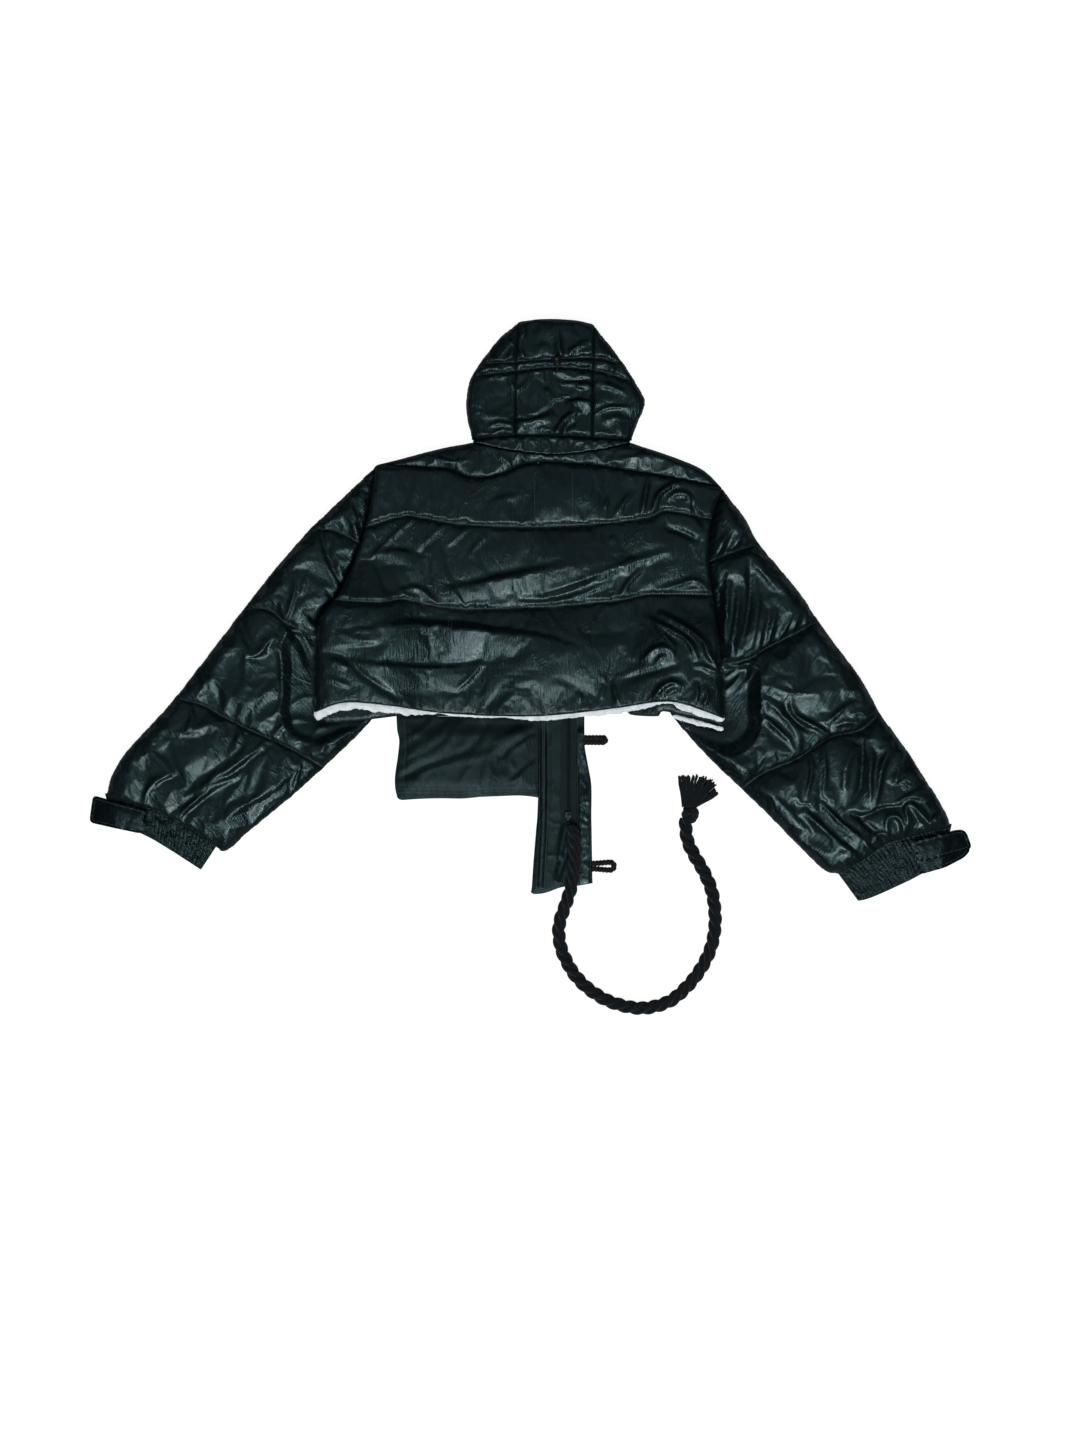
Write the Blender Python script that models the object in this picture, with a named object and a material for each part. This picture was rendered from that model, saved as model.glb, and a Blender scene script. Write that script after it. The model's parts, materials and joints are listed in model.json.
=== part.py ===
"""Cropped, hooded puffer jacket lying flat on its front, hood at +Y and back panel up.

Run with: blender --background --python part.py

The jacket rests on the plane Z = 0. Tables are in millimetres, X to the right, Y towards the hood;
the meshes are in metres. Each sewn piece is a wall of its own, a fraction of a millimetre from its
neighbours: the back and the yoke lie on the two fronts, and the sleeves, cuffs and hood are
flattened tubes whose two walls lie on each other. "Left" is the wearer's left, at -X.
"""

import math

import bmesh
import bpy
import numpy as np
from mathutils import Vector
from mathutils.geometry import delaunay_2d_cdt

MM = 0.001

# ---------------------------------------------------------------- driving sizes (mm)
CENTRE = (1.4, 0.9)  # middle of the jacket in the tables, which becomes the origin
SEAM_GAP = 0.4  # between two pieces sewn edge to edge
LAYER_GAP = 2.4  # between the fronts and what lies on them
OUTER_STEP = 21  # spacing of the points of a quilted outer surface
PLAIN_STEP = 25  # spacing of the points of a plain inner surface
EDGE_STEP = 20  # spacing of the points along an outline
FINE_STEP = 17  # spacing of the points of a smaller piece's outer surface
STRIP_STEP, COLLAR_STEP = 12, 13  # spacing of the points of the narrow strips

FRONT_THICKNESS = 11  # padded front, pressed flat under the back
FOLD_HEIGHT = 7  # where front and back meet at a side fold
FRONT_REACH = 30  # from a side fold to the front's full thickness
RIM_REACH = 36  # from a fold to where an outer surface stands at its seam height
BACK_RIM, HOOD_RIM = 13, 14  # height of the back's, the yoke's and the hood centre's open rims
CUT_SHARE, CUT_REACH = 0.2, 70  # how flat a chamber is at a cut edge, and how far in that lasts
FOLD_LIFT = 3  # how far the underside rises at a fold
FOLD_REACH = 15  # how far in from a fold the underside touches the floor
SLEEVE_SLOT = (8.1, 8.9)  # the two inner faces of a flattened tube
SLEEVE_FOLD = 6  # height of a tube's folded edge
CUFF_THICKNESS, CUFF_RISE, CUFF_WALL = 13, 2.4, 3.2
CUFF_SLOT = (5.6, 6.4)
TUBE_WALL = 7  # wall of a flattened tube at its folded edge
CORNER_LIFT = 25  # the body's lower corners lie on the sleeves
PRESSED = 20.5  # a sleeve's height where the body lies on it
UNDER_WADDING = 36  # how far past the body's edge a sleeve stays pressed
PRESS_SLOPE = 0.9  # how steeply a sleeve rises again beyond that

TAB_THICKNESS, TAB_CORNER, TAB_STEP = 3.4, 5, 9
ROPE_DIAMETER = 20
LOOP_CORD = 6.2
CUFF_GATHERS = 26  # gathers across the upper side of one cuff
TASSEL_COLUMNS, TASSEL_LAYERS = 13, 3
TASSEL_ROOT, TASSEL_HEAD = (237, -285), 9  # where the fan starts, and how long its head is
TASSEL_LOW, TASSEL_HIGH = 3, 19  # heights of the head's under and upper sides
TASSEL_FAN = (math.radians(99), math.radians(34))  # from its left strand to its right one
TASSEL_NECK, TASSEL_SPREAD = 13, 5  # the head's width where it starts, and what its end adds
TASSEL_LENGTH, TASSEL_GAP, TASSEL_TAPER = 36, 0.22, 0.82  # of its strands
TASSEL_PARTS = ((0.45, 3.5), (0.55, 5))  # each part of a strand: its share of the length, and its drop

# ---------------------------------------------------------------- shared seam lines, x, y (mm)
ARMHOLE_LEFT = [(-230, 218), (-247, 122), (-280, 35), (-315, -16)]
ARMHOLE_RIGHT = [(284, -66), (276, 2), (267, 77), (272, 137), (288, 183)]
SIDE_LEFT = [(-315, -16), (-319, -60), (-320, -104), (-322, -153)]
SIDE_RIGHT = [(290, -162), (288, -104), (284, -66)]
HEM_BACK = [
    (-322, -153),
    (-276, -138),
    (-213, -142),
    (-135, -153),
    (-45, -158),
    (30, -157),
    (129, -146),
    (190, -137),
    (228, -140),
    (290, -162),
]
YOKE_SEAM = [
    (288, 183),
    (219, 197),
    (155, 208),
    (75, 219),
    (0, 220),
    (-45, 203),
    (-84, 198),
    (-122, 211),
    (-165, 214),
    (-230, 218),
]
SHOULDER_RIGHT = [(288, 183), (260, 210), (225, 226), (188, 239), (152, 250)]
SHOULDER_LEFT = [(-88, 251), (-123, 245), (-160, 236), (-194, 227), (-230, 218)]
NECK = [(152, 250), (105, 240), (38, 233), (-30, 239), (-88, 251)]
HOOD_BASE = [(152, 254), (93, 258), (38, 261), (-22, 261), (-87, 255)]

SLEEVE_LEFT_INNER = [
    (-315, -16),
    (-278, -81),
    (-240, -135),
    (-234, -160),
    (-280, -209),
    (-344, -268),
    (-416, -328),
    (-447, -356),
    (-461, -361),
    (-470, -353),
]
SLEEVE_LEFT_OUTER = [
    (-636, -277),
    (-615, -224),
    (-536, -134),
    (-465, -43),
    (-426, 8),
    (-384, 61),
    (-331, 122),
    (-268, 182),
    (-230, 218),
]
SLEEVE_RIGHT_INNER = [
    (462, -394),
    (438, -388),
    (393, -344),
    (333, -284),
    (270, -224),
    (219, -167),
    (208, -143),
    (240, -108),
    (284, -66),
]
SLEEVE_RIGHT_OUTER = [
    (288, 183),
    (324, 137),
    (342, 103),
    (401, 32),
    (432, -14),
    (498, -104),
    (524, -151),
    (575, -224),
    (621, -299),
    (631, -324),
]
CUFF_SEAM_LEFT = [(-470, -353), (-502, -328), (-540, -307), (-569, -295), (-636, -277)]
CUFF_SEAM_RIGHT = [(631, -324), (564, -339), (530, -351), (500, -372), (462, -394)]

CUFF_HEM_LEFT = [(-493, -388), (-546, -354), (-580, -335), (-626, -317)]
CUFF_HEM_RIGHT = [(620, -374), (582, -397), (552, -412), (511, -430), (492, -435)]
TAB_LEFT = [(-654, -280), (-660, -315), (-580, -334), (-571, -298)]
TAB_RIGHT = [(570, -344), (582, -395), (652, -370), (663, -355), (656, -331), (638, -328)]
TAB_LEFT_SLOPE = [(-575, 16.4), (-620, 16.4), (-641, 9.5), (-660, 2)]  # x, height of its underside
TAB_RIGHT_SLOPE = [(570, 16.4), (616, 16.4), (640, 9.5), (663, 2)]

HOOD_RIGHT_EDGE = [
    (152, 254),
    (162, 281),
    (172, 306),
    (168, 326),
    (134, 380),
    (95, 429),
]
HOOD_TOP = [(95, 429), (68, 435), (23, 437), (-16, 433)]
HOOD_LEFT_EDGE = [
    (-16, 433),
    (-48, 407),
    (-87, 353),
    (-96, 318),
    (-95, 290),
    (-87, 255),
]
HOOD_SEAM_LEFT = [(-16, 433), (-21, 362), (-22, 261)]
HOOD_SEAM_RIGHT = [(93, 258), (94, 362), (95, 429)]
FACE_LINE_X = 36  # the hood's face edges meet under its middle

# ---------------------------------------------------------------- quilting lines (mm)
BACK_QUILTING = [
    [
        (-246, 125),
        (-190, 141),
        (-156, 138),
        (-102, 129),
        (3, 125),
        (105, 130),
        (174, 139),
        (204, 149),
        (272, 137),
    ],
    [
        (-293, 16),
        (-225, 12),
        (-190, 17),
        (-145, 8),
        (-96, 3),
        (5, 5),
        (129, 15),
        (178, 24),
        (273, 24),
    ],
]
SLEEVE_LEFT_QUILTING = [
    [(-331, 122), (-290, 119), (-252, 100)],
    [(-430, 4), (-390, 1), (-363, -19), (-322, -36), (-285, -70)],
    [(-532, -130), (-489, -141), (-458, -158), (-417, -179), (-360, -205), (-307, -235)],
]
SLEEVE_RIGHT_QUILTING = [
    [(344, 101), (302, 87), (269, 74)],
    [(432, -15), (398, -33), (353, -56), (323, -74), (270, -82)],
    [(524, -152), (494, -178), (453, -188), (423, -206), (398, -222), (347, -244), (316, -267)],
]
HOOD_CHANNEL = [
    [(-78, 368), (23, 375), (93, 378), (138, 368)],
    [(-81, 351), (23, 363), (93, 360), (147, 345)],
]

# ---------------------------------------------------------------- the heights of each quilted piece (mm)
# seam: height at a seam; puff: rise of a chamber; reach: from a seam to the top of a chamber
LEVELS = {
    "back": {"seam": 21, "puff": 23, "reach": 48},
    "yoke": {"seam": 20, "puff": 15, "reach": 26},
    "sleeve": {"seam": 19, "puff": 27, "reach": 52},
    "hood": {"seam": 22, "puff": 19, "reach": 34},
    "collar": {"seam": 21, "puff": 6, "reach": 14},
}

FOLDS = {  # each fold: its two ends, half its width, and how high it stands
    "back": [
        ((-116, -104), (28, -30), 30, 7),
        ((276, -84), (178, -22), 24, 8),
        ((278, -118), (196, -74), 24, 7),
        ((150, 84), (262, 40), 26, 6),
        ((-200, 96), (-60, 62), 28, 5),
    ],
    "sleeve_left": [
        ((-482, -190), (-404, -300), 26, 8),
        ((-590, -232), (-520, -300), 24, 6),
        ((-344, 60), (-352, 12), 24, 6),
        ((-382, -176), (-318, -262), 22, 6),
        ((-440, -70), (-376, -146), 26, 5),
    ],
    "sleeve_right": [
        ((424, -212), (440, -282), 22, 7),
        ((484, -204), (508, -288), 24, 7),
        ((548, -220), (566, -306), 24, 6),
        ((300, -4), (352, -128), 24, 7),
        ((392, 10), (344, -38), 24, 5),
        ((462, -92), (386, -150), 26, 5),
    ],
}

# name: base colour, roughness, metallic
MATERIALS = {
    "coated_shell": ((0.016, 0.027, 0.028), 0.34, 0.0),
    "lining": ((0.022, 0.028, 0.031), 0.55, 0.0),
    "wadding": ((0.80, 0.84, 0.86), 0.95, 0.0),
    "elastic_cuff": ((0.014, 0.022, 0.023), 0.5, 0.0),
    "zip_tape": ((0.018, 0.022, 0.023), 0.75, 0.0),
    "zip_metal": ((0.13, 0.11, 0.11), 0.35, 0.9),
    "rope": ((0.008, 0.009, 0.011), 0.9, 0.0),
    "toggle": ((0.01, 0.01, 0.011), 0.3, 0.0),
}


# ---------------------------------------------------------------- curves and distances
def through(points, step=EDGE_STEP):
    """A smooth curve through the points, sampled about every step."""
    p = np.array(points, float)
    if len(p) == 2:
        count = max(1, round(float(np.linalg.norm(p[1] - p[0])) / step))
        return p[0] + (p[1] - p[0]) * np.linspace(0, 1, count + 1)[:, None]
    before, after = 2 * p[0] - p[1], 2 * p[-1] - p[-2]
    knots = np.vstack([before, p, after])
    fine = []
    for a, b, c, d in zip(knots, knots[1:], knots[2:], knots[3:], strict=False):
        square, cube = 2 * a - 5 * b + 4 * c - d, 3 * b - a - 3 * c + d
        for t in np.linspace(0, 1, 16, endpoint=False):
            fine.append(0.5 * (2 * b + (c - a) * t + square * t**2 + cube * t**3))
    fine = np.array([*fine, p[-1]])
    along = np.concatenate([[0], np.cumsum(np.linalg.norm(np.diff(fine, axis=0), axis=1))])
    at = np.linspace(0, along[-1], max(2, round(along[-1] / step) + 1))
    return np.stack([np.interp(at, along, fine[:, k]) for k in range(p.shape[1])], axis=1)


def joined(*edges):
    """One closed outline from edges laid end to end."""
    return np.vstack([edge[:-1] for edge in edges])


def distance(points, line):
    """How far each point is from an open line."""
    a, b = line[:-1], line[1:]
    d = b - a
    away = points[:, None] - a
    t = np.clip((away * d).sum(2) / np.maximum((d * d).sum(1), 1e-9), 0, 1)
    return np.linalg.norm(away - t[..., None] * d, axis=2).min(1)


def ring(loop):
    return np.vstack([loop, loop[:1]])


def inside(points, loop):
    x, y = points[:, 0, None], points[:, 1, None]
    a, b = loop, np.roll(loop, -1, axis=0)
    crosses = (a[:, 1] > y) != (b[:, 1] > y)
    rise = np.where(b[:, 1] == a[:, 1], 1e-9, b[:, 1] - a[:, 1])
    return (crosses & (x < (b[:, 0] - a[:, 0]) * (y - a[:, 1]) / rise + a[:, 0])).sum(1) % 2 == 1


def outward(loop):
    """The outward normal at each point of an anticlockwise outline."""
    ahead = np.roll(loop, -1, axis=0) - np.roll(loop, 1, axis=0)
    normal = np.stack([ahead[:, 1], -ahead[:, 0]], axis=1)
    return normal / np.linalg.norm(normal, axis=1)[:, None]


def shrunk(loop, by=SEAM_GAP / 2):
    return loop - outward(loop) * by


def flat(height):
    """A height function that is the same everywhere."""
    return lambda p: np.full(len(p), float(height))


def rounded(far, reach):
    """0 at a seam, rising like a quarter of an ellipse to 1 at its reach."""
    return np.sqrt(1 - (1 - np.clip(far / reach, 0, 1)) ** 2)


def smooth(t):
    t = np.clip(t, 0, 1)
    return t * t * (3 - 2 * t)


# ---------------------------------------------------------------- meshes
def material(name):
    made = bpy.data.materials.get(name)
    if made:
        return made
    colour, roughness, metallic = MATERIALS[name]
    made = bpy.data.materials.new(name)
    made.use_nodes = True
    surface = made.node_tree.nodes["Principled BSDF"]
    surface.inputs["Base Color"].default_value = (*colour, 1)
    surface.inputs["Roughness"].default_value = roughness
    surface.inputs["Metallic"].default_value = metallic
    return made


def add(name, points, faces, finish, smooth_shading=True):
    """A closed mesh object from points in millimetres."""
    mesh = bpy.data.meshes.new(name)
    mesh.from_pydata([Vector(p) * MM for p in points], [], faces)
    shell = bmesh.new()
    shell.from_mesh(mesh)
    bmesh.ops.remove_doubles(shell, verts=shell.verts, dist=0.0001)
    ears = [v for v in shell.verts if len(v.link_faces) == 1]
    bmesh.ops.delete(shell, geom=ears, context="VERTS")
    bmesh.ops.holes_fill(shell, edges=[e for e in shell.edges if e.is_boundary], sides=0)
    bmesh.ops.recalc_face_normals(shell, faces=shell.faces)
    shell.to_mesh(mesh)
    shell.free()
    mesh.materials.append(material(finish))
    if smooth_shading:
        mesh.shade_smooth()
        mesh.set_sharp_from_angle(angle=math.radians(50))
    made = bpy.data.objects.new(name, mesh)
    bpy.context.scene.collection.objects.link(made)
    return made


def fill(loop, creases, step):
    """Triangles that fill an outline, with edges along its creases. The outline's points come first."""
    points = [tuple(p) for p in loop]
    lines = [(k, (k + 1) % len(loop)) for k in range(len(loop))]
    for crease in creases:
        if len(crease) < 2:
            continue
        within = inside(crease, loop) & (distance(crease, ring(loop)) > step * 0.5)
        run = []
        for k, point in enumerate(crease):
            away = np.linalg.norm(loop - point, axis=1)
            if within[k]:
                run.append(len(points))
                points.append(tuple(point))
            elif away.min() < step and within[min(k + 1, len(crease) - 1)] != within[max(k - 1, 0)]:
                run.append(int(away.argmin()))
        lines += [pair for pair in zip(run, run[1:], strict=False) if pair[0] != pair[1]]
    low, high = loop.min(0), loop.max(0)
    rows = np.arange(low[1], high[1], step * 0.866)
    columns = np.arange(low[0], high[0], step)
    grid = np.array([(x + (k % 2) * step / 2, y) for k, y in enumerate(rows) for x in columns])
    grid = grid[inside(grid, loop)]
    grid = grid[distance(grid, ring(loop)) > step * 0.55]
    for crease in creases:
        if len(crease) > 1:
            grid = grid[distance(grid, crease) > step * 0.55]
    points += [tuple(p) for p in grid]
    places, _, faces, first, _, _ = delaunay_2d_cdt([Vector(p) for p in points], lines, [], 1, 1e-5)
    index = []
    for place, sources in zip(places, first, strict=True):
        if not sources:
            points.append(tuple(place))
        index.append(sources[0] if sources else len(points) - 1)
    return np.array(points), [[index[k] for k in face] for face in faces]


def surface(loop, creases, step, height):
    points, faces = fill(loop, creases, step)
    return np.column_stack([points, height(points)]), faces


def wall(name, loop, creases, top, bottom, finish, step=OUTER_STEP, plain_step=PLAIN_STEP):
    """A piece with a shaped outer surface, a plain inner one and a rim all round."""
    upper, upper_faces = surface(loop, creases, step, top)
    lower, lower_faces = surface(loop, [], plain_step, bottom)
    n, shift = len(loop), len(upper)
    rim = [(k, (k + 1) % n, shift + (k + 1) % n, shift + k) for k in range(n)]
    faces = upper_faces + [[k + shift for k in face] for face in lower_faces] + rim
    return add(name, np.vstack([upper, lower]), faces, finish)


def inner_edges(edges):
    """The inner outline of a flattened tube: in by its wall along a fold, and flush at an open end.

    Each edge comes with flags for the points that both layers share.
    """
    made = []
    for k, (edge, kind) in enumerate(edges):
        if kind == "fold":
            ahead = np.gradient(edge, axis=0)
            normal = np.stack([-ahead[:, 1], ahead[:, 0]], axis=1)
            inner = edge + normal / np.linalg.norm(normal, axis=1)[:, None] * TUBE_WALL
            clear = distance(inner, edge) > 0.93 * TUBE_WALL
            clear[[0, -1]] = False
            inner = inner[clear]
            shared = np.ones(len(inner), bool)
        else:
            inner, shared = edge.copy(), np.zeros(len(edge), bool)
            for end, beside, other in ((0, 1, edges[k - 1][1]), (-1, -2, edges[(k + 1) % len(edges)][1])):
                along = edge[beside] - edge[end]
                if other == "fold":
                    inner[end] += along / np.linalg.norm(along) * TUBE_WALL
                    shared[end] = True
        made.append((inner, shared))
    return made


def lapped_wall(name, upper_edges, lower_edges, creases, top, slot, bottom, finish, step=OUTER_STEP):
    """A wall folded back on itself: an upper and a lower layer joined along every edge marked fold."""
    points, faces = [], []

    def put(loop, marks, spacing, height, shared_height, shared):
        """One surface, with its shared points at one height. Returns the number of its first point."""
        places, made = fill(loop, marks, spacing)
        z = height(places)
        z[: len(loop)][shared] = shared_height
        shift = sum(len(p) for p in points)
        points.append(np.column_stack([places, z]))
        faces.extend([k + shift for k in face] for face in made)
        return shift

    for edges, outer, inner_height, marks, spacing in (
        (upper_edges, top, slot[1], creases, step),
        (lower_edges, bottom, slot[0], [], PLAIN_STEP),
    ):
        loop = joined(*[edge for edge, _ in edges])
        at_fold = np.zeros(len(loop), bool)
        inner, inner_shared, rim, start = [], [], [], 0
        for (edge, kind), (line, shared) in zip(edges, inner_edges(edges), strict=True):
            count = len(edge) - 1
            skip = bool(inner) and kind == "open" and np.allclose(inner[-1], line[0])
            first = len(inner) - skip
            if kind == "fold":
                at_fold[[(start + k) % len(loop) for k in range(count + 1)]] = True
            else:
                rim += [(start + k, first + k) for k in range(count)]
            inner += list(line[skip:])
            inner_shared += list(shared[skip:])
            start += count
        a = put(loop, marks, spacing, outer, SLEEVE_FOLD, at_fold)
        level = flat(inner_height)
        b = put(np.array(inner), [], PLAIN_STEP * 1.5, level, sum(slot) / 2, np.array(inner_shared))
        for k, m in rim:
            faces.append([a + k, a + (k + 1) % len(loop), b + (m + 1) % len(inner), b + m])
    return add(name, np.vstack(points), faces, finish)


def tube_along(name, route, diameter, finish, sides=2):
    """A round cord along a list of x, y, z points in millimetres."""
    curve = bpy.data.curves.new(name, "CURVE")
    curve.dimensions = "3D"
    curve.bevel_depth = diameter / 2 * MM
    curve.bevel_resolution = sides
    curve.use_fill_caps = True
    spline = curve.splines.new("POLY")
    spline.points.add(len(route) - 1)
    for point, place in zip(spline.points, route, strict=True):
        point.co = (*(Vector(place) * MM), 1)
    curve.materials.append(material(finish))
    made = bpy.data.objects.new(name, curve)
    bpy.context.scene.collection.objects.link(made)
    return made


# ---------------------------------------------------------------- heights
def lift(p):
    """How far the body's lower corners are raised by the sleeves under them."""
    left = smooth((-142 - p[:, 0]) / 90) * smooth((76 - p[:, 1]) / 92)
    right = smooth((p[:, 0] - 114) / 90) * smooth((26 - p[:, 1]) / 92)
    return CORNER_LIFT * np.maximum(left, right)


def folds(piece, p):
    """How far a piece's folds raise it, softly over each fold's width."""
    rise = np.zeros(len(p))
    for start, end, reach, height in FOLDS[piece]:
        rise += height * smooth(1 - distance(p, np.array([start, end], float)) / reach)
    return rise


def fold_lines(piece):
    return [through([start, end]) for start, end, _, _ in FOLDS[piece]]


def body_outline():
    return joined(
        through(ARMHOLE_LEFT),
        through(SIDE_LEFT),
        through(HEM_BACK),
        through(SIDE_RIGHT),
        through(ARMHOLE_RIGHT),
        through(SHOULDER_RIGHT),
        through(NECK),
        through(SHOULDER_LEFT),
    )


FOLDS_OF_BODY = (SIDE_LEFT, SIDE_RIGHT, SHOULDER_LEFT, SHOULDER_RIGHT)


def from_body_fold(p):
    return np.min([distance(p, through(line)) for line in FOLDS_OF_BODY], axis=0)


def front_top(p):
    return lift(p) + FOLD_HEIGHT + (FRONT_THICKNESS - FOLD_HEIGHT) * rounded(from_body_fold(p), FRONT_REACH)


def front_bottom(p):
    return lift(p) + FOLD_LIFT * (1 - rounded(from_body_fold(p), FOLD_REACH))


def on_front(p):
    return front_top(p) + LAYER_GAP


def quilted(levels, seams, folds, edge_height, cut_edges=()):
    """The height function of a quilted surface: low at its seams and folds, high between them."""
    seam, puff, reach = levels["seam"], levels["puff"], levels["reach"]

    def height(p):
        low = np.min([distance(p, line) for line in seams], axis=0)
        rise = rounded(low, reach)
        if folds:
            rim = np.min([distance(p, line) for line in folds], axis=0)
            base = edge_height + (seam - edge_height) * rounded(rim, RIM_REACH)
            rise = rise * rounded(rim, reach)
        else:
            base = np.full(len(p), float(seam))
        for line in cut_edges:
            rise = rise * (CUT_SHARE + (1 - CUT_SHARE) * rounded(distance(p, line), CUT_REACH))
        return base + puff * rise

    return height


# ---------------------------------------------------------------- the body
def make_back():
    hem = through(HEM_BACK)
    edges = [
        through(ARMHOLE_LEFT),
        through(SIDE_LEFT),
        hem,
        through(SIDE_RIGHT),
        through(ARMHOLE_RIGHT),
        through(YOKE_SEAM),
    ]
    quilting = [through(line) for line in BACK_QUILTING]
    seams = [edges[0], edges[4], edges[5], *quilting]
    height = quilted(LEVELS["back"], seams, [edges[1], edges[3]], BACK_RIM, [hem])

    def top(p):
        return height(p) + lift(p) + folds("back", p)

    creases = [*quilting, *fold_lines("back")]
    wall("back", shrunk(joined(*edges)), creases, top, on_front, "coated_shell")


def make_yoke():
    edges = [through(YOKE_SEAM)[::-1], through(SHOULDER_RIGHT), through(NECK), through(SHOULDER_LEFT)]
    height = quilted(LEVELS["yoke"], [edges[0], edges[2]], [edges[1], edges[3]], BACK_RIM)
    wall("yoke", shrunk(joined(*edges)), [], height, on_front, "coated_shell", step=FINE_STEP)


def make_collar():
    """The crescent of standing collar that shows between hood and yoke."""
    lower = through([(150, 250.6), *NECK[1:-1], (-86, 251.6)])[::-1]
    upper = through([(150, 254), *HOOD_BASE[1:-1], (-85, 255)])
    ends = [np.array([lower[-1], upper[0]]), np.array([upper[-1], lower[0]])]
    loop = joined(lower, ends[0], upper, ends[1])
    height = quilted(LEVELS["collar"], [lower, upper], [], 0)
    wall("collar", shrunk(loop, 0.25), [], height, on_front, "coated_shell", step=COLLAR_STEP)


PLACKET_LEFT_X, PLACKET_RIGHT_X = 12, 82


def neck_point(x):
    """A point of the hood's base line, where the fronts end."""
    base = through(HOOD_BASE)
    return (x, float(np.interp(-x, -base[:, 0], base[:, 1])) - 1)


def make_fronts():
    """The two fronts, face down on the floor, on either side of the placket."""
    left = [
        through([(-88, 252), *SHOULDER_LEFT[1:]]),
        through(ARMHOLE_LEFT),
        through([*SIDE_LEFT[:-1], (-322, -157)]),
        through([(-322, -157), (-300, -168), (-240, -163), (-201, -158)]),
        through([(-201, -158), (PLACKET_LEFT_X, -158)]),
        through([(PLACKET_LEFT_X, -158), neck_point(PLACKET_LEFT_X)]),
        through([neck_point(PLACKET_LEFT_X), (-30, 259), (-88, 252)]),
    ]
    right = [
        through([neck_point(PLACKET_RIGHT_X), (PLACKET_RIGHT_X, -150)]),
        through([(PLACKET_RIGHT_X, -150), (138, -148), (152, -156), (192, -158), (202, -151), (289, -172)]),
        through([(289, -172), *SIDE_RIGHT[1:]]),
        through(ARMHOLE_RIGHT),
        through([*SHOULDER_RIGHT[:-1], (152, 252)]),
        through([(152, 252), neck_point(PLACKET_RIGHT_X)]),
    ]
    for name, edges in (("front_left", left), ("front_right", right)):
        wall(name, shrunk(joined(*edges)), [], front_top, front_bottom, "lining", step=PLAIN_STEP)


HEM_STRIP = [  # x along the hem, and how far the wadding stands out of it
    (-322, 13),
    (-276, 12),
    (-213, 12),
    (-150, 9),
    (-105, 4),
    (-20, 4),
    (20, 8),
    (129, 10),
    (190, 5),
    (215, 5),
    (240, 11),
    (290, 9),
]


WADDING_LOW, WADDING_HIGH = 1, 8  # heights of the back's strip over the front
FRONT_WADDING_LOW, FRONT_WADDING_HIGH = 3, 8  # heights of the front's strip
FRONT_WADDING_EDGE = [(212, -154), (240, -160), (289, -174)]
FRONT_WADDING_HEM = [(290, -181), (262, -174), (240, -169), (214, -160)]


def make_wadding():
    """White wadding at the cut hem: all along the back, and at the wearer's right of the front."""
    hem = through(HEM_BACK)
    out = np.interp(hem[:, 0], *np.array(HEM_STRIP).T)
    low = hem[::-1] - np.column_stack([np.zeros(len(hem)), out[::-1]])
    loop = np.vstack([hem[::-1], low[::-1]])

    def below(p):
        return on_front(p) + WADDING_LOW

    def above(p):
        return on_front(p) + WADDING_HIGH

    steps = {"step": STRIP_STEP, "plain_step": STRIP_STEP + 3}
    wall("wadding_back", shrunk(loop, 0.3), [], above, below, "wadding", **steps)

    upper = through(FRONT_WADDING_EDGE, STRIP_STEP)
    lower = through(FRONT_WADDING_HEM, STRIP_STEP)
    loop = np.vstack([upper[::-1], lower[::-1]])

    def edge_low(p):
        return lift(p) + FRONT_WADDING_LOW

    def edge_high(p):
        return lift(p) + FRONT_WADDING_HIGH

    wall("wadding_front", shrunk(loop, 0.3), [], edge_high, edge_low, "wadding", **steps)


# ---------------------------------------------------------------- sleeves, cuffs and tabs
def anticlockwise(edges):
    """Marked edges of an outline, turned round if they run clockwise."""
    x, y = joined(*[edge for edge, _ in edges]).T
    if (x * np.roll(y, -1) - np.roll(x, -1) * y).sum() > 0:
        return edges
    return [(edge[::-1], kind) for edge, kind in reversed(edges)]


def shrink_edges(edges):
    """Edges of one outline, each moved in by half a seam gap."""
    loop = shrunk(joined(*[edge for edge, _ in edges]))
    made, start = [], 0
    for edge, kind in edges:
        made.append((loop[[(start + k) % len(loop) for k in range(len(edge))]], kind))
        start += len(edge) - 1
    return made


def make_sleeve(name, armhole, inner, cuff_seam, outer, quilting, body_side):
    """A flattened tube, open at the armhole and at the cuff, quilted across."""
    ends = [through(armhole), through(cuff_seam)]
    sides = [through(inner), through(outer)]
    edges = anticlockwise([(ends[0], "open"), (sides[0], "fold"), (ends[1], "open"), (sides[1], "fold")])
    body = body_outline()
    under_body = np.vstack([through(body_side), through(HEM_BACK)][:: 1 if body_side is SIDE_LEFT else -1])
    rows = [through(line) for line in quilting]
    height = quilted(LEVELS["sleeve"], [*ends, *rows], sides, SLEEVE_FOLD)

    def top(p):
        beyond = np.clip(distance(p, under_body) - UNDER_WADDING, 0, None)
        pressed = PRESSED + np.where(inside(p, body), 0, PRESS_SLOPE * beyond)
        return np.minimum(height(p) + folds(name, p), pressed)

    def bottom(p):
        rim = np.minimum(distance(p, sides[0]), distance(p, sides[1]))
        return FOLD_LIFT * (1 - rounded(rim, FOLD_REACH))

    made = shrink_edges(edges)
    lapped_wall(name, made, made, [*rows, *fold_lines(name)], top, SLEEVE_SLOT, bottom, "coated_shell")


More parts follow.
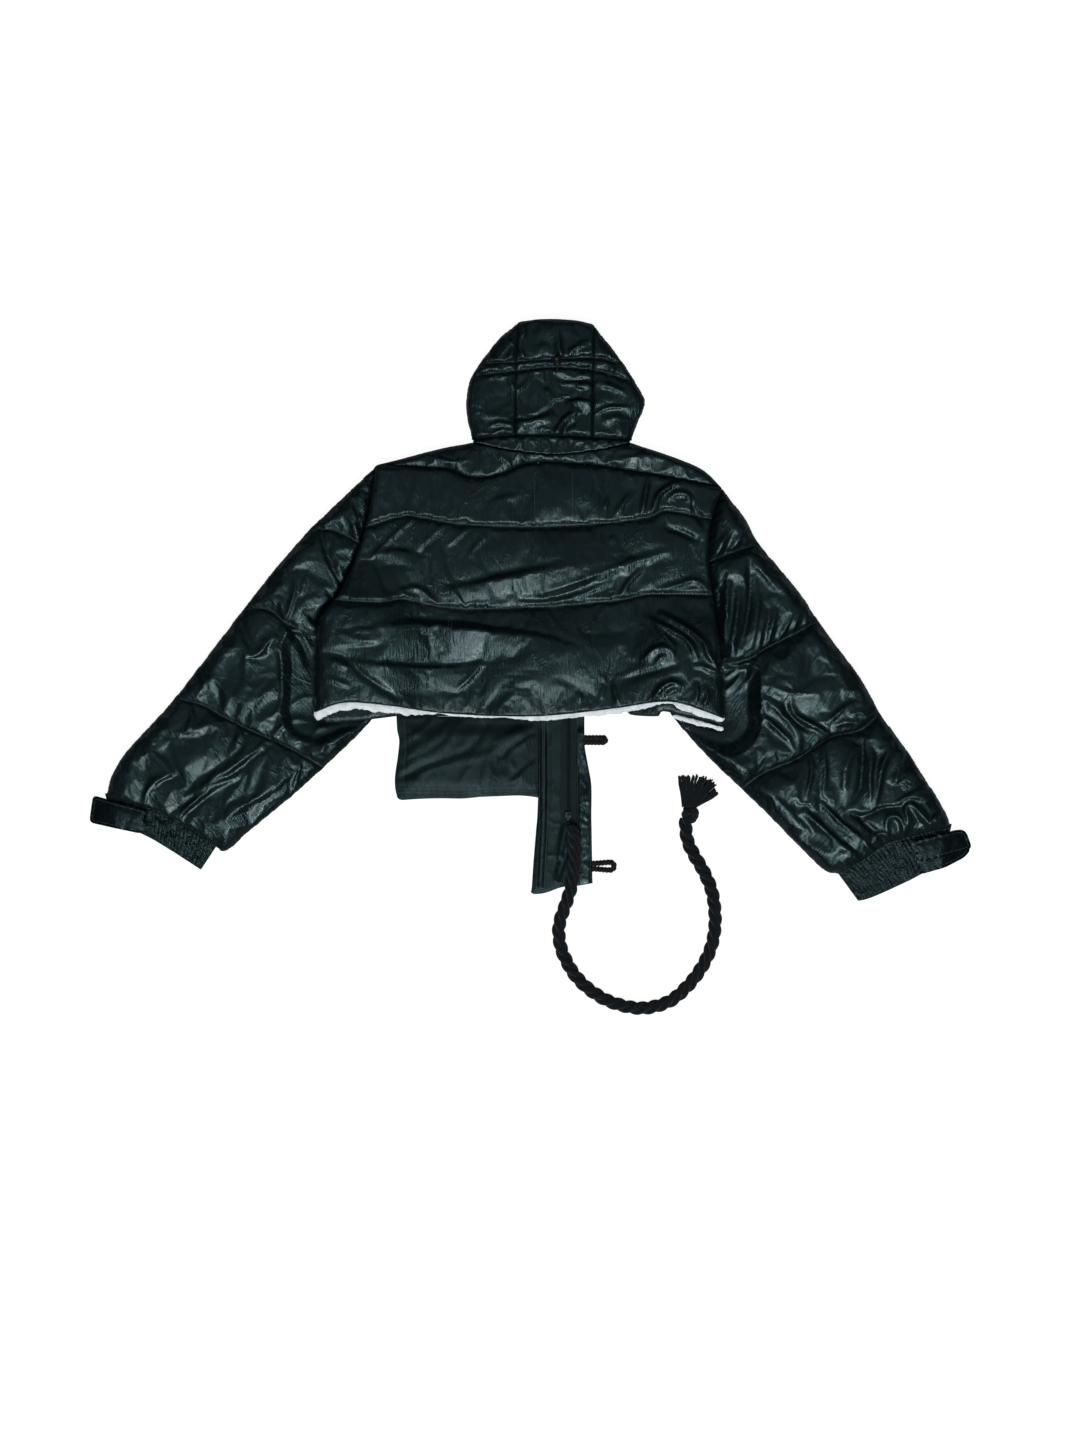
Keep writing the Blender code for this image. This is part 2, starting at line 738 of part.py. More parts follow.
def make_cuff(name, seam, hem):
    """An elastic cuff: a flattened tube with gathers across its upper side."""
    count = 2 * CUFF_GATHERS
    share = np.linspace(0, 1, count + 1)
    lines = []
    for line in (seam, hem):
        line = through(line, 1)
        lines.append(line[(share * (len(line) - 1)).round().astype(int)])
    lines[0] = lines[0] + (lines[1] - lines[0]) * 0.025
    squeeze = np.sin(np.pi * np.clip(share, 0.02, 0.98)) ** 0.35
    gathers = np.where(np.arange(count + 1) % 2 == 0, CUFF_RISE, 0)
    top = [SLEEVE_FOLD + (CUFF_THICKNESS - SLEEVE_FOLD) * squeeze + gathers * ridge for ridge in (1, 0.6, 1)]
    under = np.zeros(count + 1)
    ceiling, ground = np.full(count + 1, CUFF_SLOT[1]), np.full(count + 1, CUFF_SLOT[0])
    for heights in (*top, under):
        heights[[0, -1]] = SLEEVE_FOLD
    for heights in (ceiling, ground):
        heights[[0, -1]] = sum(CUFF_SLOT) / 2
    points, faces, starts = [], [], []
    for rows, margin in ((top, 0), ([ceiling] * 3, CUFF_WALL), ([ground] * 3, CUFF_WALL), ([under] * 3, 0)):
        starts.append(len(points))
        for across, heights in zip((0, 0.5, 1), rows, strict=True):
            row = lines[0] + (lines[1] - lines[0]) * across
            along = (row[-1] - row[0]) / np.linalg.norm(row[-1] - row[0])
            row[0] += along * margin
            row[-1] -= along * margin
            points += [(*place, height) for place, height in zip(row, heights, strict=True)]
    width = count + 1
    for start in starts:
        for first in (start, start + width):
            faces += [(a, a + 1, a + 1 + width, a + width) for a in range(first, first + count)]
    for high, low in (starts[:2], starts[2:]):
        for edge in (0, 2 * width):
            a, b = high + edge, low + edge
            faces += [(a + k, a + k + 1, b + k + 1, b + k) for k in range(count)]
    return add(name, points, faces, "elastic_cuff")


def rounded_corners(corners, radius, step):
    """An outline through corner points, with an arc at each corner and points every step between them."""
    made = []
    c = np.array(corners, float)
    for before, here, after in zip(np.roll(c, 1, axis=0), c, np.roll(c, -1, axis=0), strict=True):
        a = here + (before - here) / np.linalg.norm(before - here) * radius
        b = here + (after - here) / np.linalg.norm(after - here) * radius
        for t in (0, 0.33, 0.67):
            made.append((1 - t) ** 2 * a + 2 * t * (1 - t) * here + t**2 * b)
        ahead = after + (here - after) / np.linalg.norm(here - after) * radius
        pieces = max(1, round(float(np.linalg.norm(ahead - b)) / step))
        made += [b + (ahead - b) * k / pieces for k in range(pieces)]
    return np.array(made)


def make_tab(name, corners, slope):
    """The strap that closes a cuff, lying on it and running down past its edge."""
    x, z = np.array(sorted(slope), float).T

    def under(p):
        return np.interp(p[:, 0], x, z)

    def over(p):
        return under(p) + TAB_THICKNESS

    loop = rounded_corners(corners, TAB_CORNER, TAB_STEP)
    wall(name, loop, [], over, under, "coated_shell", step=TAB_STEP, plain_step=TAB_STEP)


# ---------------------------------------------------------------- hood
def make_hood():
    """Three panels: a centre one, and a side one each way that folds under to the face edge."""
    channel = [through(line) for line in HOOD_CHANNEL]
    left_seam, right_seam = through(HOOD_SEAM_LEFT), through(HOOD_SEAM_RIGHT)
    left_edge, right_edge, top_edge = through(HOOD_LEFT_EDGE), through(HOOD_RIGHT_EDGE), through(HOOD_TOP)
    base = through(HOOD_BASE)
    base_y = float(np.interp(-FACE_LINE_X, -base[:, 0], base[:, 1]))
    seams = [left_seam, right_seam, base, *channel]
    rims = [left_edge, right_edge, top_edge]
    height = quilted(LEVELS["hood"], seams, rims, SLEEVE_FOLD)
    centre_height = quilted(LEVELS["hood"], seams, [top_edge], HOOD_RIM)

    def between(x_low, x_high):
        """The channel lines' stretch between two x values."""
        return [line[(line[:, 0] > x_low) & (line[:, 0] < x_high)] for line in channel]

    def bottom(p):
        rim = np.min([distance(p, line) for line in rims], axis=0)
        return FOLD_LIFT * (1 - rounded(rim, FOLD_REACH))

    def under_centre(p):
        return np.full(len(p), SLEEVE_SLOT[1] + 0.6)

    base_centre = through([(93, 258), (38, 261), (-22, 261)])
    centre = [top_edge, left_seam, base_centre[::-1], right_seam]
    loop, marks = shrunk(joined(*centre)), between(-16, 90)
    wall("hood_centre", loop, marks, centre_height, under_centre, "coated_shell", step=FINE_STEP)

    face_top = float(np.interp(-FACE_LINE_X, -top_edge[:, 0], top_edge[:, 1])) - 1
    face_left = np.array([(FACE_LINE_X - 1, base_y), (FACE_LINE_X - 1, face_top)])
    face_left = through(face_left)
    face_right = through([(FACE_LINE_X + 1, face_top), (FACE_LINE_X + 1, base_y)])
    for name, upper, lower, marks in (
        (
            "hood_side_left",
            [
                (left_edge, "fold"),
                (through([(-87, 255), (-22, 261)]), "open"),
                (left_seam[::-1], "open"),
            ],
            [
                (left_edge, "fold"),
                (through([(-87, 255), (-22, 261), tuple(face_left[0])]), "open"),
                (face_left, "open"),
                (through([tuple(face_left[-1]), (-16, 433)]), "open"),
            ],
            between(-78, -28),
        ),
        (
            "hood_side_right",
            [
                (right_edge, "fold"),
                (right_seam[::-1], "open"),
                (through([(93, 258), (152, 254)]), "open"),
            ],
            [
                (right_edge, "fold"),
                (through([(95, 429), tuple(face_right[0])]), "open"),
                (face_right, "open"),
                (through([tuple(face_right[-1]), (93, 258), (152, 254)]), "open"),
            ],
            between(102, 138),
        ),
    ):
        upper, lower = matched(upper, lower)
        lapped_wall(name, upper, lower, marks, height, SLEEVE_SLOT, bottom, "coated_shell", step=FINE_STEP)


def matched(upper, lower):
    """Both layers' edges moved in by half a seam gap, sharing the folded edge's points."""
    upper, lower = shrink_edges(upper), shrink_edges(lower)
    for k, (edge, kind) in enumerate(upper):
        if kind == "fold":
            lower[k] = (edge, kind)
            before, after = lower[k - 1], lower[(k + 1) % len(lower)]
            before[0][-1], after[0][0] = edge[0], edge[-1]
    return upper, lower


TOGGLE_RADIUS, TOGGLE_LENGTH, TOGGLE_BEVEL = 5.5, 15, 1.4
TOGGLE_PLACE, TOGGLE_TURN = (39, 369, 46), math.radians(8)


def make_toggle():
    """The barrel cord lock that gathers the hood's channel."""
    made = bmesh.new()
    radius, length = TOGGLE_RADIUS * MM, TOGGLE_LENGTH * MM
    bmesh.ops.create_cone(made, cap_ends=True, segments=16, radius1=radius, radius2=radius, depth=length)
    rims = [e for e in made.edges if len(e.link_faces) == 2 and any(len(f.verts) > 4 for f in e.link_faces)]
    bmesh.ops.bevel(made, geom=rims, offset=TOGGLE_BEVEL * MM, segments=2, affect="EDGES", profile=0.5)
    mesh = bpy.data.meshes.new("hood_toggle")
    made.to_mesh(mesh)
    made.free()
    mesh.materials.append(material("toggle"))
    mesh.shade_smooth()
    mesh.set_sharp_from_angle(angle=math.radians(50))
    toggle = bpy.data.objects.new("hood_toggle", mesh)
    toggle.location = Vector(TOGGLE_PLACE) * MM
    toggle.rotation_euler = (math.radians(90), 0, TOGGLE_TURN)
    bpy.context.scene.collection.objects.link(toggle)


# ---------------------------------------------------------------- placket, pocket, zip and loops
ZIP_X = 58
ZIP_END_Y = -318
SLIDER_Y = -307
PLACKET_THICKNESS = 6.5
PLACKET_ROWS = [  # y, left edge, right edge
    (254, 12.5, 81.6),
    (150, 12.5, 81.6),
    (50, 12.5, 81.6),
    (-60, 12.5, 81.6),
    (-150, 12.5, 81.6),
    (-168, 12.5, 81.6),
    (-180, 12.5, 81.6),
    (-200, 12.5, 81.8),
    (-218, 12.5, 84.5),
    (-234, 12.5, 87.5),
    (-262, 12.5, 92.0),
    (-284, 12.5, 92.0),
    (-306, 11.0, 92.0),
    (-329, 9.0, 92.4),
    (-353, 7.0, 92.8),
    (-378, 5.0, 93.2),
    (-401, 3.5, 93.6),
    (-416, 2.5, 94.0),
]
PLACKET_STATIONS = (14.2, 16.5, 19, 22.8, 25.3, 28, 34, 58, 71, 74, 77, 79.6)
PLACKET_BOTTOM = [(2, -9), (22, -8), (48, -1), (70, 3), (94, 7)]  # x, offset of the lower edge
PIPING_X, PIPING_WIDTH, PIPING_RISE = (16, 25), 2.6, 1.6
PADDED_X, PADDED_REACH, PADDED_RISE = 71, 8, 5.5  # the padded strip along the right edge
BACK_CLEAR_Y = -172  # below this the placket no longer lies under the back


def placket_top(p):
    """Flat along the zip, with piping at the left and a padded strip at the right."""
    x, y = p[:, 0], p[:, 1]
    open_stretch = smooth((BACK_CLEAR_Y - y) / 12)
    piping = np.max([np.exp(-(((x - middle) / PIPING_WIDTH) ** 2)) for middle in PIPING_X], axis=0)
    padded = rounded(np.clip(x - PADDED_X, 0, None), PADDED_REACH)
    return PLACKET_THICKNESS + open_stretch * (PIPING_RISE * piping + PADDED_RISE * padded)


def grid_wall(name, rows, top, bottom, finish):
    """A wall whose outer surface runs along rows of points, each row from left to right, top row first."""
    height, width = rows.shape[:2]
    points = rows.reshape(-1, 2)
    index = np.arange(height * width).reshape(height, width)
    faces = [
        (index[r, c], index[r + 1, c], index[r + 1, c + 1], index[r, c + 1])
        for r in range(height - 1)
        for c in range(width - 1)
    ]
    edge = [*index[:-1, 0], *index[-1, :-1], *index[:0:-1, -1], *index[0, :0:-1]]
    lower, lower_faces = surface(points[edge], [], PLAIN_STEP * 2, bottom)
    shift, n = len(points), len(edge)
    faces += [[k + shift for k in face] for face in lower_faces]
    faces += [(edge[k], edge[(k + 1) % n], shift + (k + 1) % n, shift + k) for k in range(n)]
    return add(name, np.vstack([np.column_stack([points, top(points)]), lower]), faces, finish)


def make_placket():
    y, left, right = np.array(PLACKET_ROWS, float).T
    rows = []
    for k in range(len(y)):
        x = np.array([left[k], *PLACKET_STATIONS, right[k]])
        drop = np.interp(x, *np.array(PLACKET_BOTTOM).T) * (k == len(y) - 1)
        rows.append(np.column_stack([x, y[k] + drop]))
    grid_wall("placket", np.array(rows), placket_top, flat(0), "lining")


POCKET_EDGE, POCKET_FILL, POCKET_WAVE = 3.2, 3.0, 2.6  # its height at the rim, and what its middle adds


def make_pocket():
    """The thin pocket bag that hangs below the cropped left front."""
    loop = joined(
        through([(-200, -159), (-197, -195), (-203, -248), (-199, -281)]),
        through([(-199, -281), (-195, -284), (-104, -280), (-27, -277), (9, -279)]),
        through([(9, -279), (11, -159)]),
        through([(11, -159), (-200, -159)]),
    )

    def top(p):
        middle = np.sin((p[:, 0] + p[:, 1] * 0.8) / 26) * np.sin((p[:, 1] - 0.4 * p[:, 0]) / 33)
        within = smooth(distance(p, ring(loop)) / 40)
        return POCKET_EDGE + within * (POCKET_FILL + POCKET_WAVE * middle)

    wall("pocket_bag", shrunk(loop), [], top, flat(0), "lining", step=FINE_STEP)


def box(name, centre, size, finish, bevel=0.0):
    """A rectangular solid with bevelled edges, sizes in millimetres."""
    made = bmesh.new()
    bmesh.ops.create_cube(made, size=1)
    bmesh.ops.scale(made, vec=Vector(size) * MM, verts=made.verts)
    if bevel:
        bmesh.ops.bevel(made, geom=made.edges[:], offset=bevel * MM, segments=2, affect="EDGES", profile=0.5)
    bmesh.ops.translate(made, vec=Vector(centre) * MM, verts=made.verts)
    mesh = bpy.data.meshes.new(name)
    made.to_mesh(mesh)
    made.free()
    mesh.materials.append(material(finish))
    solid = bpy.data.objects.new(name, mesh)
    bpy.context.scene.collection.objects.link(solid)
    return solid


ZIP_FLOOR = PLACKET_THICKNESS + 0.3  # underside of the tape
TAPE_WIDTH, TAPE_THICKNESS = 24, 1.0
TEETH_WIDTH, TEETH_HEIGHT, TEETH_BEVEL = 5.2, 1.8, 0.5
ON_TAPE = ZIP_FLOOR + TAPE_THICKNESS + 0.3  # underside of the teeth and the slider
ZIP_BELOW_NECK = 6
SLIDER_OUTLINE = [(-4.5, 7), (4.5, 7), (5.6, 2), (3.6, -7), (-3.6, -7), (-5.6, 2)]  # from its middle
SLIDER_HEIGHT, SLIDER_BEVEL = 4.2, 0.6


def make_zip():
    """Tape, teeth and slider along the placket's inner face, which lies up."""
    low, high = ZIP_END_Y, neck_point(ZIP_X)[1] - ZIP_BELOW_NECK
    middle, length = (low + high) / 2, high - low
    tape_middle = (ZIP_X, middle, ZIP_FLOOR + TAPE_THICKNESS / 2)
    box("zip_tape", tape_middle, (TAPE_WIDTH, length, TAPE_THICKNESS), "zip_tape")
    teeth_low = SLIDER_Y + 8
    teeth_middle = (ZIP_X, (teeth_low + high) / 2, ON_TAPE + TEETH_HEIGHT / 2)
    box("zip_teeth", teeth_middle, (TEETH_WIDTH, high - teeth_low, TEETH_HEIGHT), "zip_tape", TEETH_BEVEL)
    slider = bmesh.new()
    corners = [Vector((ZIP_X + x, SLIDER_Y + y, ON_TAPE)) * MM for x, y in SLIDER_OUTLINE]
    base = slider.faces.new([slider.verts.new(corner) for corner in corners])
    grown = bmesh.ops.extrude_face_region(slider, geom=[base])
    top = [v for v in grown["geom"] if isinstance(v, bmesh.types.BMVert)]
    bmesh.ops.translate(slider, vec=(0, 0, SLIDER_HEIGHT * MM), verts=top)
    bmesh.ops.recalc_face_normals(slider, faces=slider.faces)
    edges = slider.edges[:]
    bmesh.ops.bevel(slider, geom=edges, offset=SLIDER_BEVEL * MM, segments=2, affect="EDGES", profile=0.5)
    mesh = bpy.data.meshes.new("zip_slider")
    slider.to_mesh(mesh)
    slider.free()
    mesh.materials.append(material("zip_metal"))
    bpy.context.scene.collection.objects.link(bpy.data.objects.new("zip_slider", mesh))


LOOPS = [  # name, x of its root and tip, y of its middle, half its width at its root and tip
    ("loop_upper", 82.4, 113, -193, 3.6, 3.6),
    ("loop_lower", 94.6, 125, -382, 5.2, 6.4),
]


def make_loops():
    """Two cord loops at the placket's edge: one closed up, one standing open."""
    for name, root_x, tip_x, middle_y, spread_root, spread_tip in LOOPS:
        bend_x = tip_x - spread_tip
        along = np.linspace(root_x, bend_x, 5)
        half = spread_root + (spread_tip - spread_root) * smooth((along - root_x) / (bend_x - root_x))
        upper = [(x, middle_y + h) for x, h in zip(along, half, strict=True)]
        lower = [(x, middle_y - h) for x, h in zip(along, half, strict=True)][::-1]
        arc = [
            (bend_x + spread_tip * math.cos(a), middle_y + spread_tip * math.sin(a))
            for a in np.linspace(math.pi / 2, -math.pi / 2, 9)[1:-1]
        ]
        route = [(x, y, LOOP_CORD / 2 + 0.02) for x, y in upper + arc + lower]
        tube_along(name, route, LOOP_CORD, "rope")


# ---------------------------------------------------------------- rope, knot and tassel
ON_FLOOR = ROPE_DIAMETER / 2 + 0.5
ON_PLACKET = PLACKET_THICKNESS + ROPE_DIAMETER / 2 + 0.9
ROPE_ROUTE = [  # x, y, z of the rope's middle, from the slider to the knot
    (58, -321, ON_PLACKET),
    (63, -344, ON_PLACKET),
    (64, -374, ON_PLACKET),
    (61, -402, ON_PLACKET),
    (55, -426, ON_PLACKET),
    (50, -444, ON_PLACKET - 4.5),
    (46, -461, ON_FLOOR + 0.5),
    (43, -479, ON_FLOOR),
    (46, -503, ON_FLOOR),
    (54, -523, ON_FLOOR),
    (67, -545, ON_FLOOR),
    (89, -567, ON_FLOOR),
    (122, -586, ON_FLOOR),
    (166, -595, ON_FLOOR),
    (206, -586, ON_FLOOR),
    (233, -565, ON_FLOOR),
    (254, -539, ON_FLOOR),
    (269, -510, ON_FLOOR),
    (276, -482, ON_FLOOR),
    (277, -452, ON_FLOOR),
    (272, -419, ON_FLOOR),
    (260, -390, ON_FLOOR),
    (246, -366, ON_FLOOR),
    (236, -344, ON_FLOOR),
    (233, -321, ON_FLOOR),
]
ROPE_STEP = 14  # spacing of the points along the rope
KNOT_CENTRE, KNOT_RADII, KNOT_BULGE = (237, -302, 11.8), (13, 15.5, 11.4), 0.28


def make_rope():
    """The thick rope that serves as the zip's pull, ending in a knot and a tassel."""
    tube_along("rope", [tuple(p) for p in through(ROPE_ROUTE, ROPE_STEP)], ROPE_DIAMETER, "rope")

    knot = bmesh.new()
    bmesh.ops.create_uvsphere(knot, u_segments=14, v_segments=9, radius=1)
    for v in knot.verts:
        bulge = 1 + KNOT_BULGE * max(0, v.co.x) ** 2
        place = v.co * Vector(KNOT_RADII)
        place.x *= bulge
        v.co = (place + Vector(KNOT_CENTRE)) * MM
    mesh = bpy.data.meshes.new("rope_knot")
    knot.to_mesh(mesh)
    knot.free()
    mesh.materials.append(material("rope"))
    mesh.shade_smooth()
    bpy.context.scene.collection.objects.link(bpy.data.objects.new("rope_knot", mesh))


def make_tassel():
    """Strands that fan out of one flattened head, each grown from a cell of the head's end."""
    head = bmesh.new()
    grid = {}
    for end in (0, 1):
        for c in range(TASSEL_COLUMNS + 1):
            for h in range(TASSEL_LAYERS + 1):
                across, level = c / TASSEL_COLUMNS, h / TASSEL_LAYERS
                angle = TASSEL_FAN[0] + (TASSEL_FAN[1] - TASSEL_FAN[0]) * across
                aside = (across - 0.5) * (TASSEL_NECK + TASSEL_SPREAD * end)
                x = TASSEL_ROOT[0] + aside + math.cos(angle) * TASSEL_HEAD * end
                y = TASSEL_ROOT[1] + math.sin(angle) * TASSEL_HEAD * end
                z = TASSEL_LOW + (TASSEL_HIGH - TASSEL_LOW) * level
                grid[end, c, h] = head.verts.new(Vector((x, y, z)) * MM)
    cells = []
    for end in (0, 1):
        for h in range(TASSEL_LAYERS):
            for c in range(TASSEL_COLUMNS):
                cell = [grid[end, c, h], grid[end, c + 1, h], grid[end, c + 1, h + 1], grid[end, c, h + 1]]
                made = head.faces.new(cell)
                if end:
                    cells.append((made, (c + 0.5) / TASSEL_COLUMNS, (h + 0.5) / TASSEL_LAYERS))
    for c in range(TASSEL_COLUMNS):
        for h in (0, TASSEL_LAYERS):
            head.faces.new([grid[0, c, h], grid[0, c + 1, h], grid[1, c + 1, h], grid[1, c, h]])
    for h in range(TASSEL_LAYERS):
        for c in (0, TASSEL_COLUMNS):
            head.faces.new([grid[0, c, h], grid[0, c, h + 1], grid[1, c, h + 1], grid[1, c, h]])
    bmesh.ops.recalc_face_normals(head, faces=head.faces)
    random = np.random.default_rng(7)
    for cell, across, level in cells:
        angle = TASSEL_FAN[0] + (TASSEL_FAN[1] - TASSEL_FAN[0]) * across
        length = TASSEL_LENGTH + random.uniform(-5, 4) + 3 * math.sin(across * math.pi)
        bmesh.ops.inset_individual(head, faces=[cell], thickness=TASSEL_GAP * MM)
        for share, drop in TASSEL_PARTS:
            cell = bmesh.ops.extrude_discrete_faces(head, faces=[cell])["faces"][0]
            centre = cell.calc_center_median()
            reach = length * share
            step = Vector((math.cos(angle) * reach, math.sin(angle) * reach, -level * drop)) * MM
            for v in cell.verts:
                v.co = centre + (v.co - centre) * TASSEL_TAPER + step
    mesh = bpy.data.meshes.new("rope_tassel")
    head.to_mesh(mesh)
    head.free()
    mesh.materials.append(material("rope"))
    bpy.context.scene.collection.objects.link(bpy.data.objects.new("rope_tassel", mesh))


# ---------------------------------------------------------------- the whole jacket
def clear_scene():
    for thing in list(bpy.data.objects):
        bpy.data.objects.remove(thing)


def main():
    clear_scene()
    make_back()
    make_yoke()
    make_collar()
    make_fronts()
    make_wadding()
    make_sleeve(
        "sleeve_left",
        ARMHOLE_LEFT,
        SLEEVE_LEFT_INNER,
        CUFF_SEAM_LEFT,
        SLEEVE_LEFT_OUTER,
        SLEEVE_LEFT_QUILTING,
        SIDE_LEFT,
    )
    make_sleeve(
        "sleeve_right",
        ARMHOLE_RIGHT[::-1],
        SLEEVE_RIGHT_INNER[::-1],
        CUFF_SEAM_RIGHT[::-1],
        SLEEVE_RIGHT_OUTER[::-1],
        SLEEVE_RIGHT_QUILTING,
        SIDE_RIGHT,
    )
    make_cuff("cuff_left", CUFF_SEAM_LEFT, CUFF_HEM_LEFT)
    make_cuff("cuff_right", CUFF_SEAM_RIGHT, CUFF_HEM_RIGHT)
    make_tab("tab_left", TAB_LEFT, TAB_LEFT_SLOPE)
    make_tab("tab_right", TAB_RIGHT, TAB_RIGHT_SLOPE)
    make_hood()
    make_toggle()
    make_placket()
    make_pocket()
    make_zip()
    make_loops()
    make_rope()
    make_tassel()
    for piece in bpy.data.objects:
        piece.location -= Vector((*CENTRE, 0)) * MM


main()
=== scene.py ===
"""Looks of a cropped, hooded puffer jacket that lies flat on its front, back panel up and hood at +Y.

Tables are in millimetres on the cutting table, X to the right and Y towards the hood; meshes are in
metres in the frame's own coordinates. "Left" is the wearer's left, at -X. Each quilted piece starts
from its cut outline and its quilting lines, is filled with wadding by the cloth solver, and is then
smoothed once. What repeats (stitches, zip teeth, tufts of wadding, rope fibres) comes from Geometry Nodes.
"""

import json
import math

import bmesh
import bpy
import numpy as np
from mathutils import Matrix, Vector
from mathutils.bvhtree import BVHTree
from mathutils.geometry import delaunay_2d_cdt

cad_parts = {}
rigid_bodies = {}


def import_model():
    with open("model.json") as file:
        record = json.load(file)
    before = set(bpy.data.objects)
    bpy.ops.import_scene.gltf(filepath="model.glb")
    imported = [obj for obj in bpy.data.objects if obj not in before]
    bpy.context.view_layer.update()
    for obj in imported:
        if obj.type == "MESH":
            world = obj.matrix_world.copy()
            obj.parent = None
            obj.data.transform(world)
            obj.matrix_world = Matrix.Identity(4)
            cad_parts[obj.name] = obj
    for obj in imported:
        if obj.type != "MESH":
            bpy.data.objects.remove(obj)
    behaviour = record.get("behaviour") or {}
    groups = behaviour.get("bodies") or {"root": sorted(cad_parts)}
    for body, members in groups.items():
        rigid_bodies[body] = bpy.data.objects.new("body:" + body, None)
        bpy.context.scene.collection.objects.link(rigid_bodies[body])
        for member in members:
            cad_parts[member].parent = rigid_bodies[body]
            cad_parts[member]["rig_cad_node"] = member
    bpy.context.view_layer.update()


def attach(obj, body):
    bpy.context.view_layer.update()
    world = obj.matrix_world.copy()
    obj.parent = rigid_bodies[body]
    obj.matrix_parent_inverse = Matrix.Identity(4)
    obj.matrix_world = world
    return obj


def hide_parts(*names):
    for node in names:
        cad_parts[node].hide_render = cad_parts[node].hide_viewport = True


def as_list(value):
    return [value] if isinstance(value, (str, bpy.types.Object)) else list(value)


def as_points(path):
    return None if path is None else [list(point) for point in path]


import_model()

MM = 0.001
CENTRE = (1.4, 0.9)  # the jacket's middle on the cutting table, the frame's origin

# ---------------------------------------------------------------- working sizes (mm)
CLOTH_STEP = 4.4  # spacing of the points of a filled panel
EDGE_STEP = 5.0  # spacing of the points along an outline
UNDER_STEP = 14  # spacing of the points of a side that rests flat
SEAM_LAP = 0.5  # how far two pieces sewn edge to edge lap over each other
LAYER_GAP = 2.4  # between the fronts and what lies on them
FRONT_THICKNESS = 11
FRONT_RIM = 7  # the fronts' height at a folded edge
RIM_REACH = 30  # how far in from a folded edge a body panel comes up to its full height
SLEEVE_FOLD_HEIGHT = 11  # height of a sleeve's folded edge
FOLD_REACH = 17  # how far in from a fold the underside touches the floor
CORNER_LIFT = 25  # the body's lower corners lie on the sleeves
LIFT_LEFT, LIFT_RIGHT = (-142, 76), (114, 26)  # x, y from which each corner rises
LIFT_RUN = (90, 92)  # how far it rises over, across and down
PRESSED = 20.5  # a sleeve's height where the body lies on it
UNDER_WADDING = 36  # how far past the body's edge a sleeve stays pressed
ROPE_DIAMETER = 20
PLACKET_THICKNESS = 6.5
CREASE_GAP = 0.55  # no inner point lies nearer than this to an outline or a crease, in steps
CREASE_SPACE = 0.6  # no crease's point lies nearer than this to another crease, in steps
ROW_STEP = 0.866  # rows of a grid of even triangles lie this far apart, in steps
JITTER = 0.12  # how far a point of that grid is moved at most, in steps
ON_SEAM = 1.2  # a point nearer to a seam than this is sewn down
PUCKER_REACH = 60  # pleats run no farther than this from a seam
PUCKER_FADE = 16  # how quickly the pucker value falls off from a seam
TINY = 1e-9
CHUNK = 4000  # points measured against a line at a time
BOARD_ZERO = (530, 611)  # the square of the flat-lay board at the cutting table's zero
BOARD_SQUARE = 1.5  # side of its squares (mm)

# ---------------------------------------------------------------- seams and edges, x, y (mm)
ARMHOLE_LEFT = [(-230, 218), (-247, 122), (-280, 35), (-315, -16)]
ARMHOLE_RIGHT = [(284, -66), (276, 2), (267, 77), (272, 137), (288, 183)]
SIDE_LEFT = [(-315, -16), (-319, -60), (-320, -104), (-322, -153)]
SIDE_RIGHT = [(290, -162), (288, -104), (284, -66)]
HEM_BACK = [
    (-322, -153), (-276, -138), (-213, -142), (-135, -153), (-45, -158), (30, -157), (129, -146),
    (190, -137), (228, -140), (290, -162),
]
YOKE_SEAM = [
    (288, 183), (219, 197), (155, 208), (75, 219), (0, 220), (-45, 203), (-84, 198), (-122, 211),
    (-165, 214), (-230, 218),
]
SHOULDER_RIGHT = [(288, 183), (260, 210), (225, 226), (188, 239), (152, 250)]
SHOULDER_LEFT = [(-88, 251), (-123, 245), (-160, 236), (-194, 227), (-230, 218)]
NECK = [(152, 250), (105, 240), (38, 233), (-30, 239), (-88, 251)]
HOOD_BASE = [(152, 254), (93, 258), (38, 261), (-22, 261), (-87, 255)]

SLEEVE_LEFT_INNER = [
    (-315, -16), (-278, -81), (-240, -135), (-234, -160), (-280, -209), (-344, -268), (-416, -328),
    (-447, -356), (-461, -361), (-470, -353),
]
SLEEVE_LEFT_OUTER = [
    (-636, -277), (-615, -224), (-536, -134), (-465, -43), (-426, 8), (-384, 61), (-331, 122), (-268, 182),
    (-230, 218),
]
SLEEVE_RIGHT_INNER = [
    (284, -66), (240, -108), (208, -143), (219, -167), (270, -224), (333, -284), (393, -344), (438, -388),
    (462, -394),
]
SLEEVE_RIGHT_OUTER = [
    (631, -324), (621, -299), (575, -224), (524, -151), (498, -104), (432, -14), (401, 32), (342, 103),
    (324, 137), (288, 183),
]
CUFF_SEAM_LEFT = [(-470, -353), (-502, -328), (-540, -307), (-569, -295), (-636, -277)]
CUFF_SEAM_RIGHT = [(462, -394), (500, -372), (530, -351), (564, -339), (631, -324)]
CUFF_HEM_LEFT = [(-493, -388), (-546, -354), (-580, -335), (-626, -317)]
CUFF_HEM_RIGHT = [(492, -435), (511, -430), (552, -412), (582, -397), (620, -374)]
TAB_LEFT = [(-655, -276), (-661, -317), (-580, -334), (-571, -298)]
TAB_LEFT_SLOPE = [(-660, 2), (-641, 9.5), (-620, 16.4), (-575, 16.4)]  # x, height of its underside
TAB_RIGHT_SLOPE = [(570, 16.4), (616, 16.4), (640, 9.5), (663, 2)]

